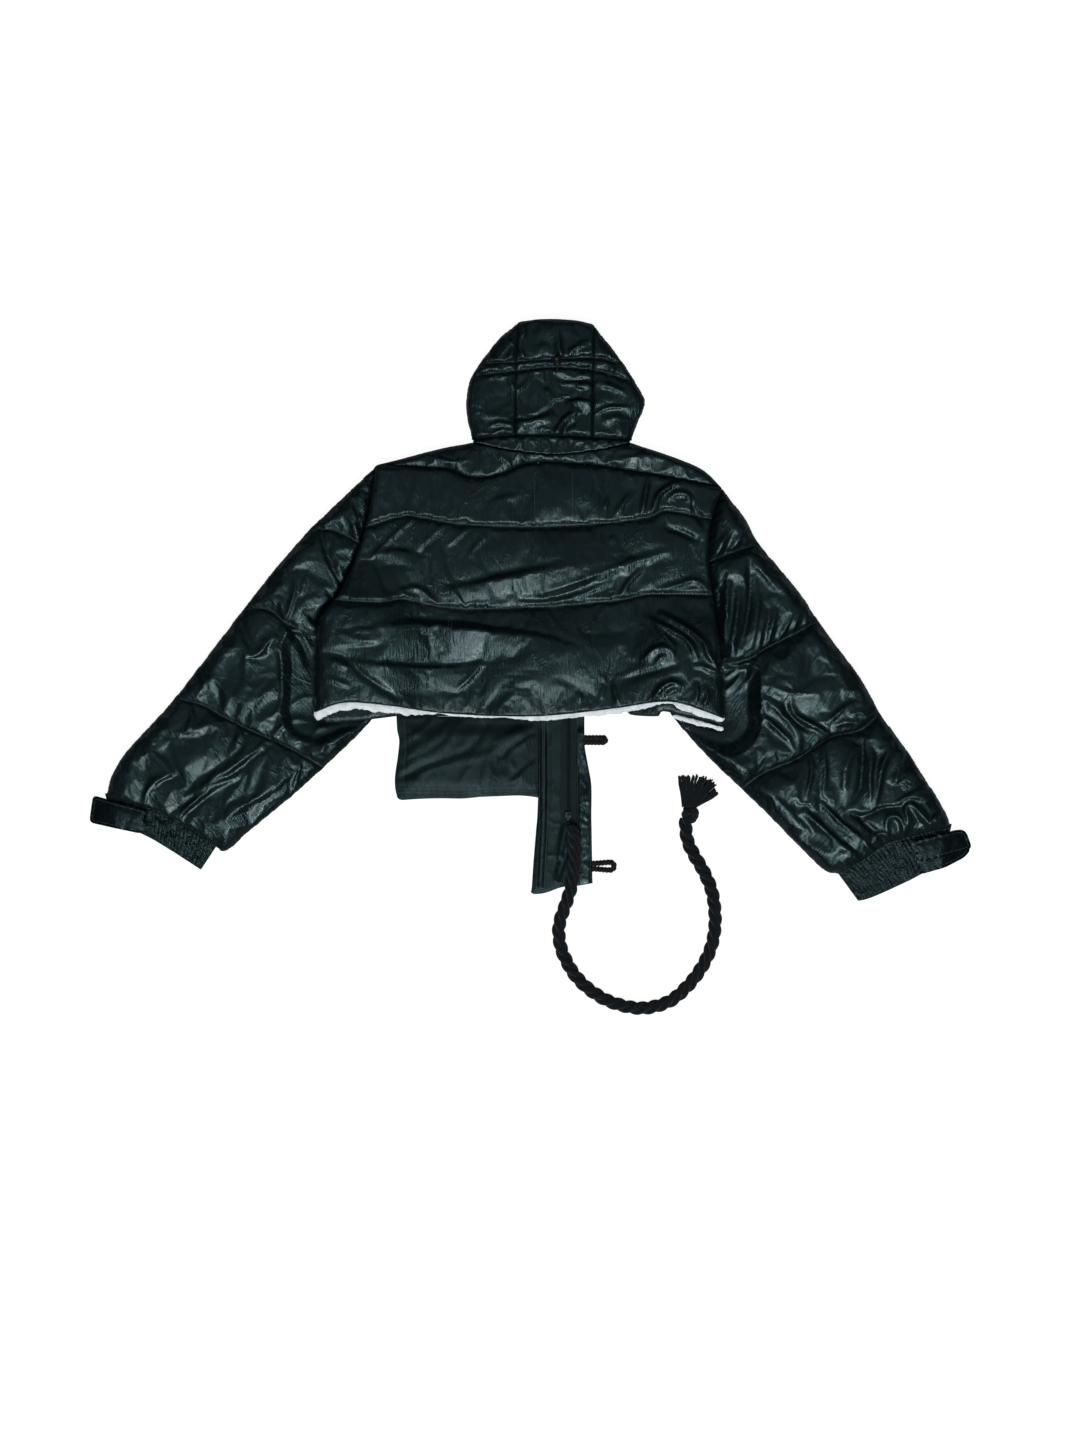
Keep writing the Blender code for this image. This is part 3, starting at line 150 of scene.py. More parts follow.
HOOD_RIGHT_EDGE = [(152, 254), (162, 281), (172, 306), (168, 326), (134, 380), (95, 429)]
HOOD_TOP = [(95, 429), (68, 435), (23, 437), (-16, 433)]
HOOD_LEFT_EDGE = [(-16, 433), (-48, 407), (-87, 353), (-96, 318), (-95, 290), (-87, 255)]
HOOD_SEAM_LEFT = [(-16, 433), (-21, 362), (-22, 261)]
HOOD_SEAM_RIGHT = [(93, 258), (94, 362), (95, 429)]
FACE_LINE_X = 36  # the hood's face edges meet under its middle

# ---------------------------------------------------------------- quilting lines (mm)
BACK_QUILTING = [
    [(-246, 125), (-190, 141), (-156, 138), (-102, 129), (3, 125), (105, 130), (174, 139), (204, 149), (272, 137)],
    [(-293, 16), (-225, 12), (-190, 17), (-145, 8), (-96, 3), (5, 5), (129, 15), (178, 24), (273, 24)],
]
SLEEVE_LEFT_QUILTING = [
    [(-331, 122), (-290, 119), (-252, 100)],
    [(-430, 4), (-390, 1), (-363, -19), (-322, -36), (-285, -70)],
    [(-532, -130), (-489, -141), (-458, -158), (-417, -179), (-360, -205), (-307, -235)],
]
SLEEVE_RIGHT_QUILTING = [
    [(344, 101), (302, 87), (269, 74)],
    [(432, -15), (398, -33), (353, -56), (323, -74), (270, -82)],
    [(524, -152), (494, -178), (453, -188), (423, -206), (398, -222), (347, -244), (316, -267)],
]
HOOD_CHANNEL = [
    [(-78, 368), (23, 375), (93, 378), (138, 368)],
    [(-81, 351), (23, 363), (93, 360), (147, 345)],
]
LEVELS = {  # height at the seams, how much higher the wadding stands between them, and how far from a seam
    "back": (31, 7, 10),
    "yoke": (25, 7, 14),
    "sleeve_left": (22, 12, 44),
    "sleeve_right": (22, 18, 36),
    "hood": (27, 8, 9),
    "collar": (26, 6, 9),
}


# ---------------------------------------------------------------- curves and distances
def px(*numbers):
    """Points read as x, y pairs on the 1.5 mm squares of the flat-lay board, in the cutting table's millimetres."""
    x, y = np.reshape(np.array(numbers, float), (-1, 2)).T
    return np.column_stack([(x - BOARD_ZERO[0]) * BOARD_SQUARE, (BOARD_ZERO[1] - y) * BOARD_SQUARE])


def travelled(line):
    """How far along a line each of its points lies."""
    return np.concatenate([[0], np.cumsum(np.linalg.norm(np.diff(line, axis=0), axis=1))])


def length_of(line):
    return float(np.linalg.norm(np.diff(line, axis=0), axis=1).sum())


def through(points, step=EDGE_STEP):
    """A smooth curve through the points, sampled about every step."""
    p = np.array(points, float)
    if len(p) == 2:
        count = max(1, round(float(np.linalg.norm(p[1] - p[0])) / step))
        return p[0] + (p[1] - p[0]) * np.linspace(0, 1, count + 1)[:, None]
    knots = np.vstack([2 * p[0] - p[1], p, 2 * p[-1] - p[-2]])
    fine = [
        0.5 * (2 * b + (c - a) * t + (2 * a - 5 * b + 4 * c - d) * t**2 + (3 * b - a - 3 * c + d) * t**3)
        for a, b, c, d in zip(knots, knots[1:], knots[2:], knots[3:], strict=False)
        for t in np.linspace(0, 1, 24, endpoint=False)
    ]
    fine = np.array([*fine, p[-1]])
    along = travelled(fine)
    at = np.linspace(0, along[-1], max(2, round(along[-1] / step) + 1))
    return np.stack([np.interp(at, along, fine[:, k]) for k in range(p.shape[1])], axis=1)


def curves(lines, step=EDGE_STEP):
    return [through(line, step) for line in lines]


def joined(*edges):
    """One closed outline from edges laid end to end."""
    return np.vstack([edge[:-1] for edge in edges])


def ring(loop):
    return np.vstack([loop, loop[:1]])


def nearest(points, line):
    """How far each point is from an open line, its signed side, and how far along the line it lies."""
    a, b = line[:-1], line[1:]
    d = b - a
    size = np.maximum((d * d).sum(1), TINY)
    lengths = np.sqrt(size)
    starts = np.concatenate([[0], np.cumsum(lengths)[:-1]])
    away, side, along = np.empty(len(points)), np.empty(len(points)), np.empty(len(points))
    for start in range(0, len(points), CHUNK):
        rows = slice(start, start + CHUNK)
        part = points[rows]
        offset = part[:, None] - a
        t = np.clip((offset * d).sum(2) / size, 0, 1)
        gap = offset - t[..., None] * d
        far = np.linalg.norm(gap, axis=2)
        k = far.argmin(1)
        row = np.arange(len(part))
        away[rows] = far[row, k]
        cross = d[k, 0] * offset[row, k, 1] - d[k, 1] * offset[row, k, 0]
        side[rows] = np.sign(cross)
        along[rows] = starts[k] + t[row, k] * lengths[k]
    return away, side, along


def distance(points, line):
    return nearest(points, line)[0]


def to_nearest(points, lines):
    """How far each point is from the nearest of some lines."""
    return np.min([distance(points, line) for line in lines], axis=0)


def inside(points, loop):
    x, y = points[:, 0, None], points[:, 1, None]
    a, b = loop, np.roll(loop, -1, axis=0)
    crosses = (a[:, 1] > y) != (b[:, 1] > y)
    rise = np.where(b[:, 1] == a[:, 1], TINY, b[:, 1] - a[:, 1])
    return (crosses & (x < (b[:, 0] - a[:, 0]) * (y - a[:, 1]) / rise + a[:, 0])).sum(1) % 2 == 1


def clockwise(loop):
    x, y = loop.T
    return (x * np.roll(y, -1) - np.roll(x, -1) * y).sum() < 0


def outward(loop):
    """The outward normal at each point of an anticlockwise outline."""
    ahead = np.roll(loop, -1, axis=0) - np.roll(loop, 1, axis=0)
    normal = np.stack([ahead[:, 1], -ahead[:, 0]], axis=1)
    return normal / np.maximum(np.linalg.norm(normal, axis=1), TINY)[:, None]


def rounded(far, reach):
    """0 at a seam, rising like a quarter of an ellipse to 1 at its reach."""
    return np.sqrt(1 - (1 - np.clip(far / reach, 0, 1)) ** 2)


def smooth(t):
    t = np.clip(t, 0, 1)
    return t * t * (3 - 2 * t)


def bell(far, width):
    """1 at 0, falling off to either side over a width."""
    return np.exp(-((far / width) ** 2))


def uneven(points, size, seed, octaves=2):
    """Smooth noise of about -1 to 1 from a seeded lattice of the given cell size (mm)."""
    total, weight = np.zeros(len(points)), 1.0
    for octave in range(octaves):
        lattice = np.random.default_rng(seed + octave).uniform(-1, 1, (128, 128))
        at = points / (size / 2**octave) + 4096
        cell = np.floor(at).astype(int)
        t = smooth(at - cell)
        i, j = cell[:, 0] % 127, cell[:, 1] % 127
        low = lattice[i, j] * (1 - t[:, 0]) + lattice[i + 1, j] * t[:, 0]
        high = lattice[i, j + 1] * (1 - t[:, 0]) + lattice[i + 1, j + 1] * t[:, 0]
        total += weight * (low * (1 - t[:, 1]) + high * t[:, 1])
        weight *= 0.5
    return total / 1.5


# ---------------------------------------------------------------- finishes: shared node groups
def wire(tree, kind, inputs=(), **settings):
    """A node with its settings, and its inputs either set or linked."""
    node = tree.nodes.new(kind)
    for name, value in settings.items():
        setattr(node, name, value)
    for socket, value in dict(inputs).items():
        if isinstance(value, bpy.types.NodeSocket):
            tree.links.new(value, node.inputs[socket])
        else:
            node.inputs[socket].default_value = value
    return node


def put(tree, kind, inputs=(), **settings):
    """The first output of a new node."""
    return wire(tree, kind, inputs, **settings).outputs[0]


def maths(tree, operation, *values):
    return put(tree, "ShaderNodeMath", enumerate(values), operation=operation)


def noise(tree, vector, scale, detail=3.0, roughness=0.55, distortion=0.0):
    values = {"Vector": vector, "Scale": scale, "Detail": detail, "Roughness": roughness, "Distortion": distortion}
    return put(tree, "ShaderNodeTexNoise", values)


def spread(tree, value, low, high, to_low=0.0, to_high=1.0):
    """The stretch from low to high, widened to to_low..to_high and clipped there."""
    values = {"Value": value, "From Min": low, "From Max": high, "To Min": to_low, "To Max": to_high}
    return put(tree, "ShaderNodeMapRange", values)


def scaled(tree, vector, by):
    return put(tree, "ShaderNodeVectorMath", {0: vector, 1: by}, operation="MULTIPLY")


def parts_of(tree, vector):
    return wire(tree, "ShaderNodeSeparateXYZ", {0: vector}).outputs


def effect(name, numbers, outputs):
    """A new shader node group: a vector and named numbers in, numbers out."""
    group = bpy.data.node_groups.new(name, "ShaderNodeTree")
    group.interface.new_socket(name="Vector", in_out="INPUT", socket_type="NodeSocketVector")
    for title, value in numbers.items():
        group.interface.new_socket(name=title, in_out="INPUT", socket_type="NodeSocketFloat").default_value = value
    for title in outputs:
        group.interface.new_socket(name=title, in_out="OUTPUT", socket_type="NodeSocketFloat")
    given, result = group.nodes.new("NodeGroupInput"), group.nodes.new("NodeGroupOutput")
    return group, given.outputs, result.inputs


def crinkle_effect():
    """Crumpled thin cloth: fine pleats across a seam, sharp random creases, and soft dents between them."""
    sizes = {"Pucker": 0.0, "Pleat Size": 0.005, "Crease Size": 0.03}
    group, given, result = effect("cloth_crinkle", sizes, ["Height", "Creases"])
    place = given["Vector"]
    per_pleat = maths(group, "DIVIDE", 1.0, given["Pleat Size"])
    pleats = noise(group, scaled(group, place, (1.0, 0.16, 1.0)), per_pleat, 2.0, 0.5, 0.35)
    near_seam = maths(group, "POWER", given["Pucker"], 1.6)
    pleats = maths(group, "MULTIPLY", spread(group, pleats, 0.3, 0.7), near_seam)
    per_crease = maths(group, "DIVIDE", 1.0, given["Crease Size"])
    sharp = noise(group, scaled(group, place, (1.0, 0.62, 1.0)), per_crease, 4.0, 0.55, 0.7)
    sharp = maths(group, "ABSOLUTE", maths(group, "SUBTRACT", sharp, 0.5))
    sharp = maths(group, "POWER", spread(group, sharp, 0.0, 0.10, 1.0, 0.0), 2.2)
    sharp = maths(group, "MULTIPLY", sharp, spread(group, noise(group, place, 14.0, 2.0), 0.42, 0.62))
    dents = noise(group, place, maths(group, "MULTIPLY", per_crease, 0.8), 2.0)
    streaks = noise(group, scaled(group, place, (1.0, 0.13, 1.0)), 380.0, 3.0, 0.6, 0.15)
    height = maths(group, "MULTIPLY", sharp, 0.34)
    for relief, share in ((pleats, 0.50), (dents, 0.30), (streaks, 0.50)):
        height = maths(group, "MULTIPLY_ADD", relief, share, height)
    group.links.new(height, result["Height"])
    group.links.new(maths(group, "MAXIMUM", sharp, maths(group, "MULTIPLY", pleats, 0.5)), result["Creases"])
    return group


def weave_effect():
    """The fine square grain of a plain weave, with its threads a little uneven."""
    group, given, result = effect("plain_weave", {"Thread": 0.0006}, ["Height"])
    per_thread = maths(group, "DIVIDE", math.pi, given["Thread"])
    x, y, _ = parts_of(group, given["Vector"])
    across, along = (maths(group, "SINE", maths(group, "MULTIPLY", way, per_thread)) for way in (x, y))
    grain = maths(group, "MULTIPLY", across, along)
    slubs = noise(group, given["Vector"], 420.0, 2.0)
    group.links.new(maths(group, "MULTIPLY_ADD", grain, 0.3, slubs), result["Height"])
    return group


def wear_effect():
    """Where a surface has been handled: a slow mottle, rubbed creases and a little dust."""
    group, given, result = effect("handled", {"Creases": 0.0, "Size": 0.06}, ["Mottle", "Rubbed", "Dust"])
    mottle = noise(group, given["Vector"], maths(group, "DIVIDE", 1.0, given["Size"]), 4.0, 0.6)
    mottle = spread(group, mottle, 0.3, 0.7)
    group.links.new(mottle, result["Mottle"])
    group.links.new(maths(group, "MULTIPLY", given["Creases"], mottle), result["Rubbed"])
    group.links.new(spread(group, noise(group, given["Vector"], 900.0, 1.0), 0.68, 0.74), result["Dust"])
    return group


EFFECTS = {"crinkle": crinkle_effect(), "weave": weave_effect(), "handled": wear_effect()}


def use(tree, name, **inputs):
    """The outputs of a shared effect, placed in a material with its own values."""
    node = wire(tree, "ShaderNodeGroup", node_tree=EFFECTS[name])
    for socket, value in inputs.items():
        title = socket.replace("_", " ").title()
        if isinstance(value, bpy.types.NodeSocket):
            tree.links.new(value, node.inputs[title])
        else:
            node.inputs[title].default_value = value
    return node.outputs


def bumped(tree, height, distance, strength=1.0, before=None):
    """A normal from a height (m), on top of the normal before it."""
    inputs = {"Height": height, "Distance": distance, "Strength": strength}
    if before is not None:
        inputs["Normal"] = before
    return put(tree, "ShaderNodeBump", inputs)


def cloth_grain(tree):
    return put(tree, "ShaderNodeUVMap", uv_map="cloth")


def seam_pucker(tree):
    """How near a seam a point is, 1 on it, fading out over a few centimetres."""
    return wire(tree, "ShaderNodeAttribute", attribute_name="pucker").outputs["Fac"]


def object_place(tree):
    return wire(tree, "ShaderNodeTexCoord").outputs["Object"]


def finish(name, surface, dark, light, **fixed):
    """A material that runs between two colours. surface(tree) gives what drives its colour, gloss and relief."""
    made = bpy.data.materials.new(name)
    made.use_nodes = True
    tree = made.node_tree
    shader = tree.nodes["Principled BSDF"]
    for socket, value in fixed.items():
        shader.inputs[socket.replace("_", " ").title().replace("Ior", "IOR")].default_value = value
    shader.inputs["Base Color"].default_value = (*dark, 1)
    between, roughness, normal = surface(tree)
    mix = wire(tree, "ShaderNodeMix", {"Factor": between, "A": (*dark, 1), "B": (*light, 1)}, data_type="RGBA")
    tree.links.new(mix.outputs["Result"], shader.inputs["Base Color"])
    tree.links.new(roughness, shader.inputs["Roughness"])
    if normal is not None:
        tree.links.new(normal, shader.inputs["Normal"])
    return made


def shell_surface(tree):
    """Thin coated cloth with a wet gloss that breaks up in the creases and dulls along the seams."""
    grain, pucker = cloth_grain(tree), seam_pucker(tree)
    crinkle = use(tree, "crinkle", vector=grain, pucker=pucker, pleat_size=0.0065, crease_size=0.040)
    weave = use(tree, "weave", vector=grain, thread=0.0006)
    handled = use(tree, "handled", vector=grain, creases=crinkle["Creases"], size=0.05)
    rough = maths(tree, "MULTIPLY_ADD", handled["Mottle"], 0.10, 0.25)
    at_seam = maths(tree, "POWER", pucker, 7.0)
    for value, share in ((handled["Rubbed"], 0.10), (at_seam, 0.45), (handled["Dust"], 0.2)):
        rough = maths(tree, "MULTIPLY_ADD", value, share, rough)
    normal = bumped(tree, weave["Height"], 0.00008, 0.8, bumped(tree, crinkle["Height"], 0.0022))
    return handled["Mottle"], rough, normal


def strap_surface(tree):
    """The shell cloth of the cuffs' straps: pressed flat and dulled by handling."""
    grain = cloth_grain(tree)
    handled = use(tree, "handled", vector=grain, creases=0.0, size=0.02)
    dents = noise(tree, scaled(tree, grain, (1.0, 0.6, 1.0)), 130.0, 3.0)
    weave = use(tree, "weave", vector=grain, thread=0.0007)
    normal = bumped(tree, weave["Height"], 0.00012, 0.9, bumped(tree, dents, 0.0012))
    return handled["Mottle"], maths(tree, "MULTIPLY_ADD", handled["Mottle"], 0.14, 0.25), normal


def lining_surface(tree):
    """Plain lining cloth: more matte, with a soft grain and shallow creases."""
    grain = cloth_grain(tree)
    crinkle = use(tree, "crinkle", vector=grain, pucker=seam_pucker(tree), pleat_size=0.006, crease_size=0.055)
    weave = use(tree, "weave", vector=grain, thread=0.0007)
    handled = use(tree, "handled", vector=grain, creases=crinkle["Creases"], size=0.04)
    normal = bumped(tree, weave["Height"], 0.00012, 0.9, bumped(tree, crinkle["Height"], 0.0012))
    return handled["Mottle"], maths(tree, "MULTIPLY_ADD", handled["Mottle"], 0.14, 0.40), normal


def elastic_surface(tree):
    """Ribbed elastic cuff: matte, with fine cords running across the gathers."""
    grain = cloth_grain(tree)
    cord = maths(tree, "SINE", maths(tree, "MULTIPLY", parts_of(tree, grain)[1], 2 * math.pi / 0.0042))
    weave = use(tree, "weave", vector=grain, thread=0.0009)
    handled = use(tree, "handled", vector=grain, creases=0.0, size=0.02)
    pleats = noise(tree, scaled(tree, grain, (1.0, 0.22, 1.0)), 300.0, 2.0)
    crumple = maths(tree, "MULTIPLY_ADD", noise(tree, grain, 300.0, 3.0), 0.7, pleats)
    height = maths(tree, "MULTIPLY_ADD", cord, 0.035, crumple)
    normal = bumped(tree, weave["Height"], 0.00015, 0.9, bumped(tree, height, 0.0028))
    return handled["Mottle"], maths(tree, "MULTIPLY_ADD", handled["Mottle"], 0.2, 0.24), normal


def wadding_surface(tree):
    """White fleece wadding: soft, matte and a little cloudy."""
    place = object_place(tree)
    cloudy = noise(tree, place, 90.0, 4.0, 0.6)
    fibres = noise(tree, place, 700.0, 4.0, 0.7)
    return spread(tree, cloudy, 0.3, 0.65), spread(tree, cloudy, 0.2, 0.8, 0.98, 0.86), bumped(tree, fibres, 0.0009)


def zip_tape_surface(tree):
    """Woven zip tape: matte black with a herringbone rib."""
    place = object_place(tree)
    x, y, _ = parts_of(tree, place)
    slope = maths(tree, "ADD", y, maths(tree, "PINGPONG", x, 0.003))
    rib = maths(tree, "SINE", maths(tree, "MULTIPLY", slope, 2 * math.pi / 0.0011))
    handled = use(tree, "handled", vector=place, creases=0.0, size=0.02)
    rough = maths(tree, "MULTIPLY_ADD", handled["Mottle"], 0.15, 0.6)
    return handled["Mottle"], rough, bumped(tree, rib, 0.00018)


def zip_metal_surface(tree):
    """Dark plated metal, rubbed brighter on its edges."""
    place = object_place(tree)
    edge = wire(tree, "ShaderNodeNewGeometry").outputs["Pointiness"]
    handled = use(tree, "handled", vector=place, creases=spread(tree, edge, 0.5, 0.58), size=0.004)
    scratches = noise(tree, scaled(tree, place, (1.0, 0.1, 1.0)), 2600.0, 2.0)
    rough = maths(tree, "MULTIPLY_ADD", handled["Mottle"], 0.2, 0.26)
    return handled["Rubbed"], rough, bumped(tree, scratches, 0.00006)


def yarn_surface(tree, ply_width=0.0022):
    """Soft spun yarn: matte black, its plies slanting across each strand, with painted shade between them."""
    grain = cloth_grain(tree)
    along, across, _ = parts_of(tree, grain)
    slant = maths(tree, "MULTIPLY_ADD", across, 0.9, along)
    fuzz = noise(tree, grain, 650.0, 3.0)
    wander = maths(tree, "MULTIPLY", fuzz, 3.0)
    ply = maths(tree, "SINE", maths(tree, "MULTIPLY_ADD", slant, 2 * math.pi / ply_width, wander))
    # colour: lighter on each ply's crest and darker in its groove as painted shade, over a random fuzz tone
    shade = maths(tree, "MULTIPLY_ADD", ply, 0.3, fuzz)
    rough = spread(tree, fuzz, 0.2, 0.8, 0.8, 0.95)
    return spread(tree, shade, 0.1, 0.95), rough, bumped(tree, shade, 0.0006)


def toggle_surface(tree):
    """Moulded black plastic with a fine spark-eroded grain."""
    place = object_place(tree)
    smear = noise(tree, place, 160.0, 3.0, 0.6)
    grain = noise(tree, place, 1500.0, 2.0, 0.6)
    return smear, maths(tree, "MULTIPLY_ADD", smear, 0.2, 0.2), bumped(tree, grain, 0.00005)


def thread_surface(tree):
    """Sewing thread, a shade lighter than the cloth."""
    twist = noise(tree, object_place(tree), 1800.0, 1.0, 0.6)
    return twist, spread(tree, twist, 0.0, 1.0, 0.45, 0.75), None


YARN = {"sheen_weight": 0.10, "sheen_roughness": 0.5, "specular_ior_level": 0.12}


SHELL_COAT = {"coat_weight": 0.13, "coat_roughness": 0.16, "coat_tint": (0.74, 0.98, 1.0, 1)}


def cloth_gloss(level, tint):
    return {"specular_ior_level": level, "specular_tint": (*tint, 1)}


FINISHES = {
    name: finish(name, surface, dark, light, **fixed)
    for name, surface, dark, light, fixed in (
        (
            "coated_shell", shell_surface, (0.0016, 0.0035, 0.0038), (0.0038, 0.0069, 0.0076),
            {**cloth_gloss(0.39, (0.58, 0.95, 1.0)), **SHELL_COAT},
        ),
        (
            "lining", lining_surface, (0.0011, 0.0026, 0.0030), (0.0030, 0.0057, 0.0064),
            cloth_gloss(0.25, (0.60, 0.95, 1.0)),
        ),
        (
            "elastic_cuff", elastic_surface, (0.0009, 0.0022, 0.0026), (0.0025, 0.0048, 0.0055),
            cloth_gloss(0.42, (0.60, 0.95, 1.0)),
        ),
        (
            "strap_cloth", strap_surface, (0.0005, 0.0014, 0.0016), (0.0015, 0.0031, 0.0036),
            cloth_gloss(0.22, (0.58, 0.94, 1.0)),
        ),
        (
            "wadding", wadding_surface, (0.66, 0.73, 0.77), (0.93, 0.96, 0.98),
            {"sheen_weight": 0.3, "specular_ior_level": 0.2},
        ),
        (
            "zip_tape", zip_tape_surface, (0.0060, 0.0110, 0.0120), (0.0105, 0.0170, 0.0185),
            cloth_gloss(0.30, (0.62, 0.95, 1.0)),
        ),
        ("zip_metal", zip_metal_surface, (0.008, 0.011, 0.013), (0.060, 0.062, 0.068), {"metallic": 0.92}),
        ("rope", yarn_surface, (0.0010, 0.0017, 0.0026), (0.0054, 0.0084, 0.0112), YARN),
        (
            "loop_cord", lambda tree: yarn_surface(tree, 0.0014),
            (0.0015, 0.0017, 0.0020), (0.0096, 0.0099, 0.0108), YARN,
        ),
        (
            "toggle", toggle_surface, (0.0037, 0.0038, 0.0042), (0.0093, 0.0096, 0.0102),
            {"specular_ior_level": 0.4},
        ),
        ("sewing_thread", thread_surface, (0.030, 0.052, 0.058), (0.105, 0.150, 0.158), {"sheen_weight": 0.2}),
    )
}


# ---------------------------------------------------------------- meshes
def at(points):
    """Points of the cutting table in millimetres, moved to the frame and turned to metres."""
    places = np.array(points, float).reshape(-1, 3)
    return (places - np.array([*CENTRE, 0])) * MM


def mesh_object(name, points, faces, finish, grain=None, pucker=None, sharp=60):
    """An object at the origin whose mesh holds its place, with its grain (m) as a UV map."""
    mesh = bpy.data.meshes.new(name)
    mesh.from_pydata([Vector(p) for p in points], [], [list(map(int, face)) for face in faces])
    if grain is not None:
        corner = np.empty(len(mesh.loops), np.int32)
        mesh.loops.foreach_get("vertex_index", corner)
        mesh.uv_layers.new(name="cloth").data.foreach_set("uv", np.asarray(grain, np.float32)[corner].ravel())
    if pucker is not None:
        mesh.attributes.new("pucker", "FLOAT", "POINT").data.foreach_set("value", np.asarray(pucker, np.float32))
    mesh.materials.append(FINISHES[finish])
    mesh.shade_smooth()
    if sharp < 180:
        mesh.set_sharp_from_angle(angle=math.radians(sharp))
    return in_scene(name, mesh)


def in_scene(name, data):
    made = bpy.data.objects.new(name, data)
    bpy.context.scene.collection.objects.link(made)
    return made


def stands_for(piece, node):
    """Hides the solid that a piece takes the place of."""
    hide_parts(node)
    return piece


def tube_faces(rings, around):
    """The four-sided faces between rings of points."""
    faces = []
    for start in range(0, (rings - 1) * around, around):
        for k in range(around):
            m = (k + 1) % around
            faces.append((start + k, start + m, start + around + m, start + around + k))
    return faces


def outward_faces(piece):
    """Makes a closed mesh's faces point out."""
    work = bmesh.new()
    work.from_mesh(piece.data)
    bmesh.ops.recalc_face_normals(work, faces=work.faces)
    work.to_mesh(piece.data)
    work.free()
    return piece


def evaluated(piece):
    """Applies a piece's modifiers to its mesh."""
    graph = bpy.context.evaluated_depsgraph_get()
    graph.update()
    mesh = bpy.data.meshes.new_from_object(piece.evaluated_get(graph), preserve_all_data_layers=True, depsgraph=graph)
    piece.modifiers.clear()
    old = piece.data
    piece.data = mesh
    mesh.name = piece.name
    if old.users == 0:
        bpy.data.meshes.remove(old)
    return piece


def swept(name, route, section, finish, turn=0.0, caps=True, swell=None):
    """A tube along a route (m): the section's points (m) turn by turn radians for each metre of route."""
    route = np.asarray(route, float)
    ahead = np.gradient(route, axis=0)
    ahead /= np.linalg.norm(ahead, axis=1)[:, None]
    side = np.cross(ahead, [0, 0, 1.0])
    side /= np.maximum(np.linalg.norm(side, axis=1), 1e-6)[:, None]
    up = np.cross(side, ahead)
    along = travelled(route)
    count = len(section)
    radius = np.linalg.norm(section, axis=1)
    angle = np.arctan2(section[:, 1], section[:, 0])
    swell = np.ones(len(route)) if swell is None else swell
    around = angle[None, :] + (along * turn)[:, None]
    u = (radius[None, :] * np.cos(around)) * swell[:, None]
    v = (radius[None, :] * np.sin(around)) * swell[:, None]
    points = (route[:, None] + u[..., None] * side[:, None] + v[..., None] * up[:, None]).reshape(-1, 3)
    faces = tube_faces(len(route), count)
    unrolled = np.linspace(0, 2 * math.pi * float(radius.mean()), count, endpoint=False)
    grain = np.stack(np.meshgrid(along, unrolled, indexing="ij"), axis=-1).reshape(-1, 2)
    if caps:
        last = (len(route) - 1) * count
        points = np.vstack([points, route[0], route[-1]])
        grain = np.vstack([grain, grain[0], grain[-1]])
        a, b = len(points) - 2, len(points) - 1
        faces += [((k + 1) % count, k, a) for k in range(count)]
        faces += [(last + k, last + (k + 1) % count, b) for k in range(count)]
    return outward_faces(mesh_object(name, points, faces, finish, grain))


def lobed(lobes, diameter, points):
    """The outline of a laid rope: as many round strands as lobes, touching in the middle."""
    strand, offset = 0.285 * diameter, 0.215 * diameter
    angle = np.linspace(0, 2 * math.pi, points, endpoint=False)
    from_lobe = (angle + math.pi / lobes) % (2 * math.pi / lobes) - math.pi / lobes
    radius = offset * np.cos(from_lobe) + np.sqrt(np.maximum(strand**2 - (offset * np.sin(from_lobe)) ** 2, 0))
    return np.column_stack([radius * np.cos(angle), radius * np.sin(angle)])


# ---------------------------------------------------------------- camera, floor and light
EYE_HEIGHT = 6.0
VIEW_HEIGHT = 2.16  # the stretch of floor from the frame's foot to its head (m)
LOOKING_AT = (0.0136, -0.1644)
KEY_SIZE, KEY_DISTANCE, KEY_RADIANCE = 1.5, 3.4, 8.0
KEY_TILT = math.radians(30)  # how far the key light leans from straight above towards the hem
FLOOR_GLOW = 0.92  # how bright the floor itself looks to the eye
FLOOR_REACH, FLOOR_LEVEL = 6.0, -0.0002  # from its middle to its sides, and just below the jacket (m)


def make_camera():
    """Straight down on the jacket from above."""
    lens = bpy.data.cameras.new("eye")
    lens.sensor_fit = "VERTICAL"
    lens.sensor_height = 24
    lens.lens = lens.sensor_height * EYE_HEIGHT / VIEW_HEIGHT
    lens.clip_end = 50
    camera = in_scene("eye", lens)
    camera.location = (*LOOKING_AT, EYE_HEIGHT)
    bpy.context.scene.camera = camera


def make_light(name, place, size, radiance):
    """A square soft light of the given side, looking at the frame's origin."""
    lamp = bpy.data.lights.new(name, "AREA")
    lamp.shape = "SQUARE"
    lamp.size = size
    lamp.energy = radiance * math.pi * size**2
    light = in_scene(name, lamp)
    light.location = place
    light.rotation_euler = (Vector() - Vector(place)).to_track_quat("-Z", "Y").to_euler()


